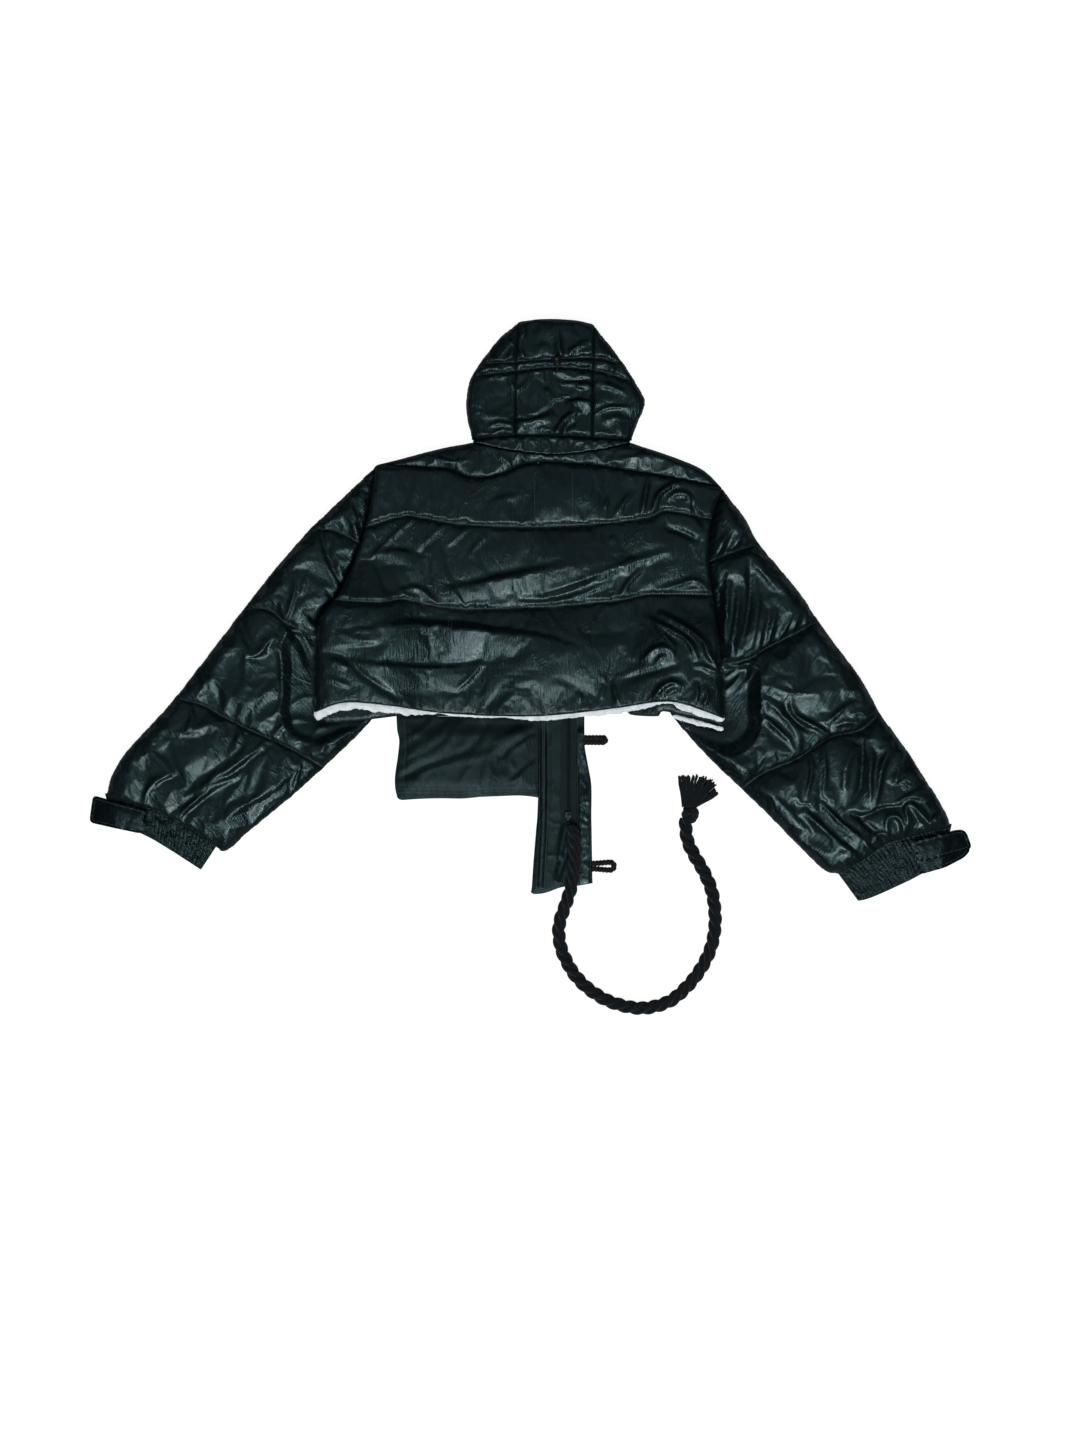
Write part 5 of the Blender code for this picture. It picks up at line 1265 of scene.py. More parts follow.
def settle_cloth():
    """Lets the cloth of every panel grow a little and fill with air, between its seams, then smooths it."""
    scene = bpy.context.scene
    scene.frame_start, scene.frame_end = 1, FRAMES
    starts = {}
    for name, entry in PANELS.items():
        piece, firm = entry["object"], entry["firm"]
        starts[name] = places_of(piece.data)
        group = piece.vertex_groups.new(name="sewn")
        for level in np.unique(firm[firm > 0]):
            group.add(np.flatnonzero(firm == level).tolist(), float(level), "REPLACE")
        cloth = piece.modifiers.new("Cloth", "CLOTH")
        for setting, value in CLOTH.items():
            setattr(cloth.settings, setting, value)
        cloth.settings.shrink_min = -GROWTH.get(name, COMMON_GROWTH)
        cloth.settings.effector_weights.gravity = 0
        cloth.collision_settings.use_collision = cloth.collision_settings.use_self_collision = False
        cloth.point_cache.frame_start, cloth.point_cache.frame_end = 1, FRAMES
    for moment in range(1, FRAMES + 1):
        scene.frame_set(moment)
    for name, entry in PANELS.items():
        piece = evaluated(entry["object"])
        mesh, rest = piece.data, starts[name]
        move = places_of(mesh) - rest
        far = np.linalg.norm(move, axis=1)
        move *= np.minimum(1, LARGEST_MOVE / np.maximum(far, TINY))[:, None]
        mesh.vertices.foreach_set("co", (rest + move).astype(np.float32).ravel())
        mesh.update()
        piece.vertex_groups.clear()
        smoother = piece.modifiers.new("Smooth", "SUBSURF")
        smoother.levels = smoother.render_levels = 1
        entry["object"] = evaluated(piece)
        entry["object"].data.shade_smooth()
        print(f"{name}: moved {far.mean() * 1000:.1f} mm on average, {far.max() * 1000:.1f} at most, {len(far)} points")
    scene.frame_set(1)


# ---------------------------------------------------------------- the body
def make_back():
    lines = ARMHOLE_LEFT, SIDE_LEFT, HEM_BACK, SIDE_RIGHT, ARMHOLE_RIGHT, YOKE_SEAM
    armhole_left, side_left, hem, side_right, armhole_right, yoke_seam = curves(lines)
    edges = [(armhole_left, "seam"), (side_left, "cut"), (hem, "cut"), (side_right, "cut")]
    edges += [(armhole_right, "seam"), (yoke_seam, "seam")]
    quilting = curves(BACK_QUILTING)
    ends = [armhole_left, armhole_right, yoke_seam]
    height = quilted("back", ends, [side_left, side_right], 12, [hem], quilting)

    def top(p):
        gathers = puckers(p, [*quilting, yoke_seam, hem], 11, 4.4, 3) + puckers(p, ends[:2], 19, 2.0, 60)
        slope = 0.055 * np.clip(p[:, 1] - 118, 0, None)
        middle = smooth((p[:, 0] + 80) / 45) * smooth((185 - p[:, 0]) / 60)
        slope -= 0.085 * middle * np.clip(-30 - p[:, 1], 0, None)
        return height(p) - slope + lift(p) + fold_rise("back", p) + gathers + 1.2 * uneven(p, 60, 8)

    def firm(p):
        return np.where(distance(p, hem) < 6, 0.5, 0.0)

    seams = [*ends, *quilting, hem]
    panel("back", edges, quilting, top, on_front, seams, crests=fold_lines("back"), held=firm)


def make_yoke():
    yoke_seam, shoulder_right = through(YOKE_SEAM)[::-1], through(SHOULDER_RIGHT)
    neck, shoulder_left = through(NECK), through(SHOULDER_LEFT)
    edges = [(yoke_seam, "seam"), (shoulder_right, "cut"), (neck, "seam"), (shoulder_left, "cut")]
    hood_base = through(HOOD_BASE)
    height = quilted("yoke", [yoke_seam], [shoulder_right, shoulder_left], 12)

    def top(p):
        gathers = puckers(p, [yoke_seam], 12, 2.6, 21) + 2.0 * uneven(p, 12, 6) * np.exp(-distance(p, hood_base) / 16)
        return height(p) + fold_rise("yoke", p) + gathers + 1.2 * uneven(p, 30, 5)

    crests, step = fold_lines("yoke"), 0.85 * CLOTH_STEP
    panel("yoke", edges, [], top, on_front, [yoke_seam, hood_base], crests=crests, step=step)


def make_collar():
    """The crescent of standing collar that shows between hood and yoke."""
    lower = through([(150, 250.6), *NECK[1:-1], (-86, 251.6)])[::-1]
    upper = through([(150, 254), *HOOD_BASE[1:-1], (-85, 255)])
    ends = [np.array([lower[-1], upper[0]]), np.array([upper[-1], lower[0]])]
    edges = [(lower, "seam"), (ends[0], "cut"), (upper, "seam"), (ends[1], "cut")]
    height = quilted("collar", [upper], [], 0)

    def top(p):
        return height(p) + 2.0 * uneven(p, 12, 6) * np.exp(-distance(p, upper) / 16)

    panel("collar", edges, [], top, on_front, [upper], step=0.7 * CLOTH_STEP)


PLACKET_LEFT_X, PLACKET_RIGHT_X = 12, 82


def y_on(line, x):
    """Where a line that runs towards -X crosses an x."""
    return float(np.interp(-x, -line[:, 0], line[:, 1]))


def neck_point(x):
    """A point of the hood's base line, where the fronts end."""
    return (x, y_on(through(HOOD_BASE), x) - 1)


def make_fronts():
    """The two fronts, face down on the floor, on either side of the placket."""
    left_neck, right_neck = neck_point(PLACKET_LEFT_X), neck_point(PLACKET_RIGHT_X)
    left_foot, right_foot = (PLACKET_LEFT_X, -158), (PLACKET_RIGHT_X, -150)
    left = [
        [(-88, 252), *SHOULDER_LEFT[1:]],
        ARMHOLE_LEFT,
        [*SIDE_LEFT[:-1], (-322, -157)],
        [(-322, -157), (-300, -168), (-240, -163), (-201, -158)],
        [(-201, -158), left_foot],
        [left_foot, left_neck],
        [left_neck, (-30, 259), (-88, 252)],
    ]
    right = [
        [right_neck, right_foot],
        [right_foot, (138, -148), (152, -156), (192, -158), (202, -151), (289, -172)],
        [(289, -172), *SIDE_RIGHT[1:]],
        ARMHOLE_RIGHT,
        [*SHOULDER_RIGHT[:-1], (152, 252)],
        [(152, 252), right_neck],
    ]
    quilting = curves(BACK_QUILTING, 12)

    def bottom(p):
        """Flat on the floor, with shallow grooves along the quilting and at the edges."""
        groove = np.exp(-to_nearest(p, quilting) / 7)
        return lift(p) + 3.2 * (1 - rounded(from_body_fold(p), FOLD_REACH)) + 2.2 * groove

    def firm(p):
        return np.ones(len(p))

    for name, lines in (("front_left", left), ("front_right", right)):
        edges = [(edge, "cut") for edge in curves(lines)]
        seams = [*quilting, *curves(lines)]
        panel(name, edges, [], front_top, bottom, seams, step=UNDER_STEP, under=9, held=firm)


# ---------------------------------------------------------------- sleeves
def make_sleeve(name, armhole, inner, cuff_seam, outer, quilting, body_side, turn):
    """A flattened tube from armhole to cuff, quilted across, its folded edges rolled under."""
    ends = [through(armhole), through(cuff_seam)]
    sides = [through(inner), through(outer)]
    edges = [(ends[0], "seam"), (sides[0], "fold"), (ends[1], "seam"), (sides[1], "fold")]
    if clockwise(joined(*[edge for edge, _ in edges])):
        edges = [(edge[::-1], kind) for edge, kind in reversed(edges)]
    is_left = body_side is SIDE_LEFT
    body = body_outline()
    under_body = np.vstack([through(body_side), through(HEM_BACK)][:: 1 if is_left else -1])
    corner = body_side[0 if is_left else -1][1]
    rows = curves(quilting)
    seams = [*ends, *rows]
    height = quilted(name, seams, sides, SLEEVE_FOLD_HEIGHT)

    def ceiling(p):
        beyond = distance(p, under_body)
        slack = 1.6 * uneven(p, 30, 14) + 6 * smooth(beyond / UNDER_WADDING) - 5
        slack += 0.9 * np.clip(p[:, 1] - corner + 22, 0, None)
        return PRESSED + np.where(inside(p, body), -1, slack + 0.9 * np.clip(beyond - UNDER_WADDING, 0, None))

    def top(p):
        gathers = puckers(p, [*rows, *ends], 17, 3.6, 41) + 2.0 * uneven(p, 52, 12)
        level, folds = height(p) + gathers, fold_rise(name, p)
        free = ~inside(p, body)
        return np.minimum(level + folds * (1 - 0.8 * free), ceiling(p)) + folds * 0.8 * free

    def bottom(p):
        rim = to_nearest(p, sides)
        groove = np.exp(-to_nearest(p, rows) / 8)
        return SLEEVE_FOLD_HEIGHT * (1 - rounded(rim, FOLD_REACH)) + 2.0 * groove * rounded(rim, 12)

    def firm(p):
        return np.clip((PRESSED + 20 - ceiling(p)) / 14, 0, 1).round(1)

    panel(name, edges, rows, top, bottom, seams, turn, crests=fold_lines(name), held=firm, under=8)


# ---------------------------------------------------------------- hood
def make_hood():
    """Three panels: a centre one, and a side one each way that folds under to the face edge."""
    channel = curves(HOOD_CHANNEL)
    left_seam, right_seam = through(HOOD_SEAM_LEFT), through(HOOD_SEAM_RIGHT)
    left_edge, right_edge, top_edge = through(HOOD_LEFT_EDGE), through(HOOD_RIGHT_EDGE), through(HOOD_TOP)
    base = through(HOOD_BASE)
    seams = [left_seam, right_seam, base, *channel]
    rims = [left_edge, right_edge, top_edge]
    height = quilted("hood", seams[2:], rims, 11)
    centre_height = quilted("hood", seams[2:], [top_edge], 14)
    shared = {"crests": fold_lines("hood"), "step": 0.8 * CLOTH_STEP}

    def dressed(p, level):
        gathers = puckers(p, [*channel, base], 10, 3.0, 71) + puckers(p, [left_seam, right_seam], 15, 2.0, 83)
        gathers -= 2.6 * np.exp(-to_nearest(p, seams[:2]) / 2.4)
        slope = 0.035 * (p[:, 1] - 258)
        return level(p) - slope + fold_rise("hood", p) + gathers + 1.4 * uneven(p, 26, 15)

    def centre_top(p):
        return dressed(p, centre_height)

    def centre_bottom(p):
        return np.full(len(p), 9.6)

    def bottom(p):
        return 9 * (1 - rounded(to_nearest(p, rims), FOLD_REACH))

    def between(x_low, x_high):
        return [line[(line[:, 0] > x_low) & (line[:, 0] < x_high)] for line in channel]

    foot = through([(-22, 261), (38, 261), (93, 258)])
    centre = [(top_edge, "cut"), (left_seam, "seam"), (foot, "seam"), (right_seam, "seam")]
    panel("hood_centre", centre, between(-16, 90), centre_top, centre_bottom, seams, **shared)

    face_top, base_y = y_on(top_edge, FACE_LINE_X) - 1, y_on(base, FACE_LINE_X)
    left_x, right_x = FACE_LINE_X - 1, FACE_LINE_X + 1
    left_cuts = (
        [(-87, 255), (-22, 261), (left_x, base_y)],
        [(left_x, base_y), (left_x, face_top)],
        [(left_x, face_top), (-16, 433)],
    )
    right_cuts = (
        [(95, 429), (right_x, face_top)],
        [(right_x, face_top), (right_x, base_y)],
        [(right_x, base_y), (93, 258), (152, 254)],
    )
    for name, seam, sign, edge, cuts, (low, high) in (
        ("hood_side_left", left_seam, 1, left_edge, left_cuts, (-78, -28)),
        ("hood_side_right", right_seam, -1, right_edge, right_cuts, (102, 138)),
    ):

        def beyond(p, seam=seam, sign=sign):
            """How far a point lies under the centre panel, past this side's seam."""
            at_seam = np.interp(p[:, 1], np.sort(seam[:, 1]), seam[np.argsort(seam[:, 1]), 0])
            return sign * (p[:, 0] - at_seam)

        def top(p, beyond=beyond):
            return np.where(beyond(p) > 1.5, 8.2, dressed(p, height))

        def firm(p, beyond=beyond):
            return np.where(beyond(p) > -1, 1.0, 0.0)

        edges = [(edge, "fold"), *[(cut, "cut") for cut in curves(cuts)]]
        marks = [*between(low, high), seam[2:-2]]
        panel(name, edges, marks, top, bottom, seams, held=firm, under=8, **shared)


# ---------------------------------------------------------------- thin pieces
def slab(name, loop, step, top, bottom, finish, creases=(), seams=(), grain_turn=0.0):
    """A closed thin piece of cloth between two heights, finely divided on both of its sides."""
    flat, upper_faces = fill(loop, creases, step)
    n, shift = len(loop), len(flat)
    points = np.vstack([np.column_stack([flat, top(flat)]), np.column_stack([flat, bottom(flat)])])
    faces = [*upper_faces, *[[k + shift for k in reversed(face)] for face in upper_faces]]
    faces += [(k, k + shift, (k + 1) % n + shift, (k + 1) % n) for k in range(n)]
    near = to_nearest(points[:, :2], seams or [ring(loop)])
    grain = grain_map(points, grain_turn)
    piece = outward_faces(mesh_object(f"{name}_cloth", at(points), faces, finish, grain, np.exp(-near / 9), sharp=50))
    return stands_for(piece, name)


def ridge(p, line, width, height):
    """A narrow fold or cord along a line, as a height over each point."""
    return height * bell(distance(p, line), width)


PLACKET_EDGES = [  # y, left edge, right edge
    (253, 12.5, 81.6), (-168, 12.5, 81.6), (-200, 12.5, 81.8), (-218, 12.5, 84.5), (-234, 12.5, 87.5),
    (-262, 12.5, 92.0), (-306, 11.0, 92.0), (-329, 9.0, 92.4), (-353, 7.0, 92.8), (-378, 5.0, 93.2),
    (-401, 3.5, 93.6), (-416, 2.5, 94.0),
]
PLACKET_HEM = [(2.5, -424), (22, -423), (48, -414), (70, -412), (94, -408)]
BACK_CLEAR_Y = -172  # below this the placket no longer lies under the back
WELT_LINES = [
    px(541, 714, 541, 756, 541.4, 800, 541, 830, 539.5, 856, 538, 888),
    px(546, 714, 546, 756, 546, 800, 545.4, 830, 544, 856, 542.4, 888),
]
STAY_TAPE = px(550.2, 712, 550.2, 813, 560.4, 813, 560.4, 712)  # a ribbed tape beside the zip
PLACKET_SEAM = px(575.6, 712, 575.8, 800, 576.4, 850, 577, 884)
STRIP_PUCKERS = [  # height, width, points
    (1.8, 1.0, px(578, 731, 577.8, 748, 577.4, 764)),
    (1.6, 0.9, px(580.5, 776, 582.6, 786, 581.0, 799)),
    (2.0, 0.9, px(579.2, 779, 585.6, 784, 586.4, 792, 584.0, 800)),
    (1.8, 0.9, px(579.5, 803.4, 584, 802.4, 590, 800.8)),
    (2.0, 1.1, px(582.6, 806, 581.4, 812, 587.2, 819)),
    (1.5, 0.9, px(585.4, 808, 584.6, 814, 585.8, 818)),
    (1.5, 0.9, px(584, 822, 582.2, 832, 583.8, 840)),
    (1.6, 0.9, px(585.6, 842, 584, 849, 586.2, 854, 583.4, 858)),
    (1.4, 0.9, px(584.4, 862, 582.6, 872, 584, 880)),
    (1.3, 0.9, px(588.0, 862, 586.6, 872, 588.4, 879)),
    (1.4, 0.9, px(580, 744, 583, 756, 587, 764)),
    (1.2, 0.9, px(581, 822, 588, 826)),
]
LINING_FOLDS = [
    (2.6, 1.5, px(563.4, 822, 561.4, 834, 559.6, 846, 558.6, 858)),
    (2.2, 1.3, px(568, 832, 565.8, 842, 561.6, 856, 557.4, 870, 555.6, 881)),
    (2.0, 1.2, px(569.4, 846, 567.2, 858, 562.4, 871, 559.4, 883)),
    (1.0, 1.4, px(548, 855.4, 556, 855, 563, 855.6)),
    (0.9, 1.2, px(548.6, 820, 554, 824, 560, 823)),
    (0.8, 1.5, px(549, 872, 554, 878, 556, 888)),
]


def placket_top(p):
    """Flat along the zip, with two welts at the left and a padded strip at the right."""
    x, y = p[:, 0], p[:, 1]
    clear = smooth((BACK_CLEAR_Y - y) / 12)
    padded_strip = rounded(np.clip(x - PLACKET_SEAM[0, 0] - 1, 0, None), 7) * rounded(np.clip(93 - x, 0, None), 5)
    beside_zip = smooth((y - SLIDER_Y) / 14)
    detail = 4.6 * padded_strip - ridge(p, through(PLACKET_SEAM), 1.6, 1.1)
    for line in WELT_LINES:
        detail += ridge(p, through(line), 1.7, 1.9)
    detail -= 0.9 * bell(x - 27.6, 1.6) * beside_zip
    taped = inside(p, STAY_TAPE)
    detail += np.where(taped, 0.55 + 0.14 * np.sin(y * 2 * math.pi / 2.6), 0)
    for height, width, line in [*STRIP_PUCKERS, *LINING_FOLDS]:
        detail += ridge(p, through(line), width * 1.6, height)
    wander = 0.55 * uneven(p, 16, 33) * (1 - taped) + 0.9 * padded_strip * uneven(p * [1.0, 0.7], 9, 36)
    edge = np.minimum(distance(p, ring(placket_outline())), 6) / 6
    dip = 1.6 * (1 - smooth((-160 - y) / 16)) * clear
    return PLACKET_THICKNESS - 1.6 * (1 - rounded(edge, 1.0)) + clear * (detail + wander) - dip


def placket_outline():
    y, left, right = np.array(PLACKET_EDGES, float).T
    return joined(
        through(np.column_stack([left, y]), 6),
        through([(left[-1], y[-1]), *PLACKET_HEM], 6),
        through([PLACKET_HEM[-1], *np.column_stack([right, y])[-2::-1]], 6),
        through([(right[0], y[0]), (left[0], y[0])], 6),
    )


def make_placket():
    creases = curves([*WELT_LINES, PLACKET_SEAM, ring(STAY_TAPE)[1:4]], 4)
    creases += curves([line for _, _, line in STRIP_PUCKERS[:4] + LINING_FOLDS[:3]], 3)
    edge = ring(placket_outline())

    def under(p):
        return 1.6 * np.exp(-distance(p, edge) / 3) + 0.5 + 0.5 * uneven(p, 22, 90)

    seams = curves([*WELT_LINES, PLACKET_SEAM])
    placket = slab("placket", placket_outline(), 3.2, placket_top, under, "lining", creases, [*seams, edge])
    placket.data.materials.append(FINISHES["coated_shell"])
    for face in placket.data.polygons:
        if face.center.x > (PLACKET_SEAM[0, 0] + 1 - CENTRE[0]) * MM:
            face.material_index = 1
    return placket


POCKET_OUTLINE = [  # the bag's sides, each from corner to corner
    px(396.4, 716, 397.2, 730, 399.2, 741, 397.6, 758, 395.0, 776, 395.2, 788, 397.2, 797.4),
    px(397.2, 797.4, 401, 800, 412, 799.4, 428, 798.6, 444, 798.4, 463, 798.6, 480, 797),
    px(480, 797, 500, 796.2, 518, 795.6, 530, 796.4, 539.2, 797.8),
]
POCKET_FOLDS = [  # height, width, points
    (2.4, 3.6, px(400, 772, 412, 764, 426, 757, 440, 750, 452, 738, 458, 724)),
    (-2.0, 3.6, px(404, 776, 420, 768, 436, 763, 452, 757, 470, 748, 480, 736, 484, 724)),
    (2.0, 4.4, px(405, 757, 420, 748, 436, 738, 448, 726)),
    (1.7, 3.4, px(416, 785, 420, 775, 432, 767, 452, 762, 474, 758, 488, 754)),
    (1.8, 2.8, px(482, 784, 485, 772, 488, 762, 494, 750, 506, 742, 520, 734, 530, 728)),
    (1.6, 2.4, px(494, 783, 492, 774, 489, 765)),
    (2.0, 3.0, px(496, 741, 508, 736, 520, 729)),
    (-1.5, 2.4, px(500, 757, 512, 748, 524, 738, 531, 734)),
    (2.0, 2.8, px(512, 766, 508, 758, 512, 750, 522, 744, 532, 737)),
    (2.2, 2.6, px(512, 782, 520, 776, 528, 768, 535, 762)),
    (-1.4, 2.2, px(513, 778, 522, 769, 533, 760)),
    (1.5, 2.4, px(402, 744, 412, 736, 424, 728, 432, 720)),
    (1.4, 2.6, px(460, 783, 465, 774, 470, 768)),
    (1.3, 2.2, px(401, 782, 408, 780, 418, 782)),
]
POCKET_STITCHING = [
    px(404.4, 722, 405.4, 742, 404.6, 760, 403.2, 776, 404, 784),
    px(399.6, 788.4, 430, 788.8, 460, 789.2, 490, 788, 515, 787.6, 535, 788.2),
    px(399.6, 792.2, 430, 792.8, 460, 793, 490, 791.6, 515, 791.2, 535, 791.8),
]


def make_pocket():
    """The thin pocket bag below the cropped front, with a hem at its side and a stitched band at its foot."""
    side, foot_left, foot_right = curves(POCKET_OUTLINE, 4)
    top_right = (13.8, -159)
    right = through([foot_right[-1], top_right], 4)
    loop = joined(side, foot_left, foot_right, right, through([top_right, side[0]], 4))
    stitching = curves(POCKET_STITCHING)
    edge = ring(loop)

    def top(p):
        rim = distance(p, edge)
        within = smooth(rim / 30)
        full = smooth((-162 - p[:, 1]) / 26)
        soft = 4.4 * full + 1.2 * uneven(p, 46, 24) + 0.5 * uneven(p, 13, 27)
        level = 2.0 + 1.2 * rounded(rim, 5) + within * soft - 0.6
        for height, width, line in POCKET_FOLDS:
            level += ridge(p, through(line), width * 1.5, height) * smooth(rim / 12)
        for line in stitching:
            level -= ridge(p, line, 1.5, 0.9)
        gathers = puckers(p, stitching, 7, 0.9, 91) * smooth(rim / 6)
        return np.clip(level + gathers, 1.6, 8.6)

    def bottom(p):
        return np.clip(0.3 + 0.45 * (1 + uneven(p, 26, 28)) * smooth(distance(p, edge) / 8), 0.2, 1.2)

    creases = [*stitching, *curves([line for _, _, line in POCKET_FOLDS[:6]], 5)]
    return slab("pocket_bag", loop, 4.2, top, bottom, "lining", creases, [*stitching, edge], math.radians(8))


# ---------------------------------------------------------------- cuffs and their tabs
CUFF_HEIGHT, CUFF_MIDDLE, CUFF_WALL, CUFF_LIP = 12.2, 6.4, 1.3, 24
TAB_THICKNESS = 3.4
GATHERS = {  # the gathers' spacing and height, how crumpled they are, their slant, their rows and their seed
    "cuff_left": (6.4, 2.0, 2.8, 0.25, 1, 411),
    "cuff_right": (6.2, 2.6, 3.0, -0.3, 2, 77),
}


def make_cuff(name, seam, hem):
    """An elastic cuff: a flattened tube, gathered all round, with its mouth turned in."""
    spacing, gathered, crumple, slant, waves, seed = GATHERS[name]
    columns = 150
    lines = []
    for line in (seam, hem):
        fine = through(line, 0.5)
        lines.append(fine[np.linspace(0, len(fine) - 1, columns).round().astype(int)])
    start, span = lines[0], lines[1] - lines[0]
    width = float(np.linalg.norm(start[-1] - start[0]))
    share = np.concatenate([np.linspace(0, 1, columns), np.linspace(1, 0, columns)[1:-1]])
    upper = np.arange(len(share)) < columns
    squeeze = rounded(np.minimum(share, 1 - share) * width, 9)
    round_cuff = np.where(upper, share, 2 - share) * width
    column = (share * (columns - 1)).round().astype(int)
    depth = float(np.linalg.norm(span[columns // 2]))
    rows = [(t, 0.0) for t in np.linspace(-0.10, 0.97, 22)] + [(0.99, 0.5), (0.985, 1.0)]
    rows += [(t, 1.0) for t in np.linspace(0.93, 1 - CUFF_LIP / depth, 5)]
    thick = np.where(upper, CUFF_HEIGHT - CUFF_MIDDLE, CUFF_MIDDLE - 1.4)
    toward = (0.5 - share)[:, None] * 2 * (start[-1] - start[0]) / width
    points, grain = [], []
    for across, inward in rows:
        flat = start[column] + span[column] * across
        place = np.column_stack([round_cuff + slant * across * depth, np.full(len(share), across * depth)])
        phase = place[:, 0] / spacing + 0.8 * uneven(place * [1, 0.3], 17, seed)
        fold = np.abs(np.sin(math.pi * phase)) ** 0.8 - 0.5
        fade = 0.35 + 0.65 * abs(math.sin(math.pi * waves * min(1, max(0, across) * 1.05)))
        rise = gathered * fold * (1 + 0.6 * uneven(place, 21, seed + 3)) * fade
        rise += crumple * uneven(place, 9, seed + 9) * fade - 1.2 * math.exp(-((across * depth / 3) ** 2))
        wall = np.maximum(squeeze * (thick + np.clip(rise, -3.2, 3.0)) - CUFF_WALL * inward, 0.15)
        flat = flat + toward * CUFF_WALL * inward * (1 - squeeze)[:, None]
        height = CUFF_MIDDLE + np.where(upper, 1, -1) * wall
        points.append(np.column_stack([flat, np.maximum(height, 0.3)]))
        grain.append(place * MM)
    faces = tube_faces(len(rows), len(share))
    points = at(np.vstack(points))
    a, b, c = points[list(faces[40][:3])]
    if np.cross(b - a, c - b)[2] < 0:
        faces = [face[::-1] for face in faces]
    piece = mesh_object(f"{name}_cloth", points, faces, "elastic_cuff", np.vstack(grain), sharp=180)
    return stands_for(piece, name)


def rounded_corners(corners, radius, step):
    """An outline through corner points, with an arc at each corner and points every step between them."""
    made = []
    c = np.array(corners, float)
    for before, here, after in zip(np.roll(c, 1, axis=0), c, np.roll(c, -1, axis=0), strict=True):
        a = here + (before - here) / np.linalg.norm(before - here) * radius
        b = here + (after - here) / np.linalg.norm(after - here) * radius
        made += [(1 - t) ** 2 * a + 2 * t * (1 - t) * here + t**2 * b for t in (0, 0.2, 0.4, 0.6, 0.8)]
        ahead = after + (here - after) / np.linalg.norm(here - after) * radius
        pieces = max(1, round(float(np.linalg.norm(ahead - b)) / step))
        made += [b + (ahead - b) * k / pieces for k in range(pieces)]
    return np.array(made)


def make_strap(name, corners, slope, radius, raised, thickness, seed):
    """A stitched strap with rolled edges, lying on its cuff and running down past the end of it."""
    loop = rounded_corners(corners, radius, 3)
    if clockwise(loop):
        loop = loop[::-1]
    edge = ring(loop)
    place, height = np.array(sorted(slope), float).T

    def under(p):
        rim = rounded(distance(p, edge), 2.2)
        return np.interp(p[:, 0], place, height) + raised + 0.9 * (1 - rim) + 0.3 * uneven(p, 18, seed)

    def over(p):
        rim = distance(p, edge)
        rolled = rounded(rim, 2.4)
        bead, groove = bell(rim - 2.2, 1.8), bell(rim - 4.4, 0.9)
        soft = smooth((rim - 5) / 9) * (0.9 + 0.8 * uneven(p, 20, seed + 2) + 0.4 * uneven(p, 7, seed + 4))
        gathers = 0.5 * uneven(np.column_stack([p.sum(1) * 1.4, rim]), 5, seed + 6) * bell(rim - 5, 3)
        level = under(p) - 0.9 * (1 - rolled) + (thickness - 0.7) * (0.35 + 0.65 * rolled)
        return level + bead - 0.5 * groove + soft + gathers

    border = ring(loop - outward(loop) * 4.4)
    return slab(name, loop, 3.0, over, under, "strap_cloth", [border], [edge]), border


TAB_RIGHT_UPPER = [(567, -345), (641, -327), (653, -329), (663, -356), (648, -361), (583, -376)]
TAB_RIGHT_UNDER = [(573, -352), (652, -342), (661, -358), (652, -369), (622, -384), (583, -395)]


def make_cuffs():
    cuffs = [
        make_cuff("cuff_left", CUFF_SEAM_LEFT, CUFF_HEM_LEFT),
        make_cuff("cuff_right", CUFF_SEAM_RIGHT, CUFF_HEM_RIGHT),
    ]
    straps = [
        make_strap("tab_left", TAB_LEFT, TAB_LEFT_SLOPE, 8, 0.4, TAB_THICKNESS, 5),
        make_strap("tab_right", TAB_RIGHT_UPPER, TAB_RIGHT_SLOPE, 8, 1.6, TAB_THICKNESS - 0.6, 15),
        make_strap("tab_right", TAB_RIGHT_UNDER, TAB_RIGHT_SLOPE, 7, -0.9, 2.2, 25),
    ]
    straps[2][0].name = "strap_under_right"
    return cuffs, straps


# ---------------------------------------------------------------- wadding at the cut hem
HEM_STRIP = [  # x along the hem, and how far the wadding stands out of it
    (-322, 12), (-300, 12.5), (-276, 11), (-213, 12), (-170, 10), (-152, 4), (-144, 3.5), (-138, 0.6),
    (-128, 1.0), (-118, 3.4), (-60, 3.6), (-36, 2.2), (-20, 4), (14, 8), (60, 7), (129, 9.5), (176, 8),
    (192, 3), (214, 3), (224, 9), (262, 10), (290, 7),
]


def fluffy(name, spine, half_width, half_height, seed):
    """A soft roll of wadding along a line (mm), with clumps and a ragged edge."""
    around = 20
    angle = np.linspace(0, 2 * math.pi, around, endpoint=False)
    ahead = np.gradient(spine[:, :2], axis=0)
    ahead /= np.linalg.norm(ahead, axis=1)[:, None]
    side = np.column_stack([-ahead[:, 1], ahead[:, 0]])
    along = travelled(spine[:, :2])
    places = np.stack(np.meshgrid(along, angle * 9, indexing="ij"), axis=-1).reshape(-1, 2)
    clumps = 1 + 0.22 * uneven(places, 13, seed) + 0.30 * uneven(places, 4.2, seed + 4)
    clumps = clumps.reshape(len(spine), around) * rounded(np.minimum(along, along[-1] - along), 4)[:, None]
    out = half_width[:, None] * np.cos(angle) * clumps
    up = half_height[:, None] * np.sin(angle) * clumps
    points = np.empty((len(spine), around, 3))
    points[..., :2] = spine[:, None, :2] + side[:, None] * out[..., None]
    points[..., 2] = spine[:, 2:3] + up
    faces = tube_faces(len(spine), around)
    faces += [tuple(range(around)), tuple(range((len(spine) - 1) * around, len(spine) * around))]
    return outward_faces(mesh_object(name, at(points), faces, "wadding", sharp=180))


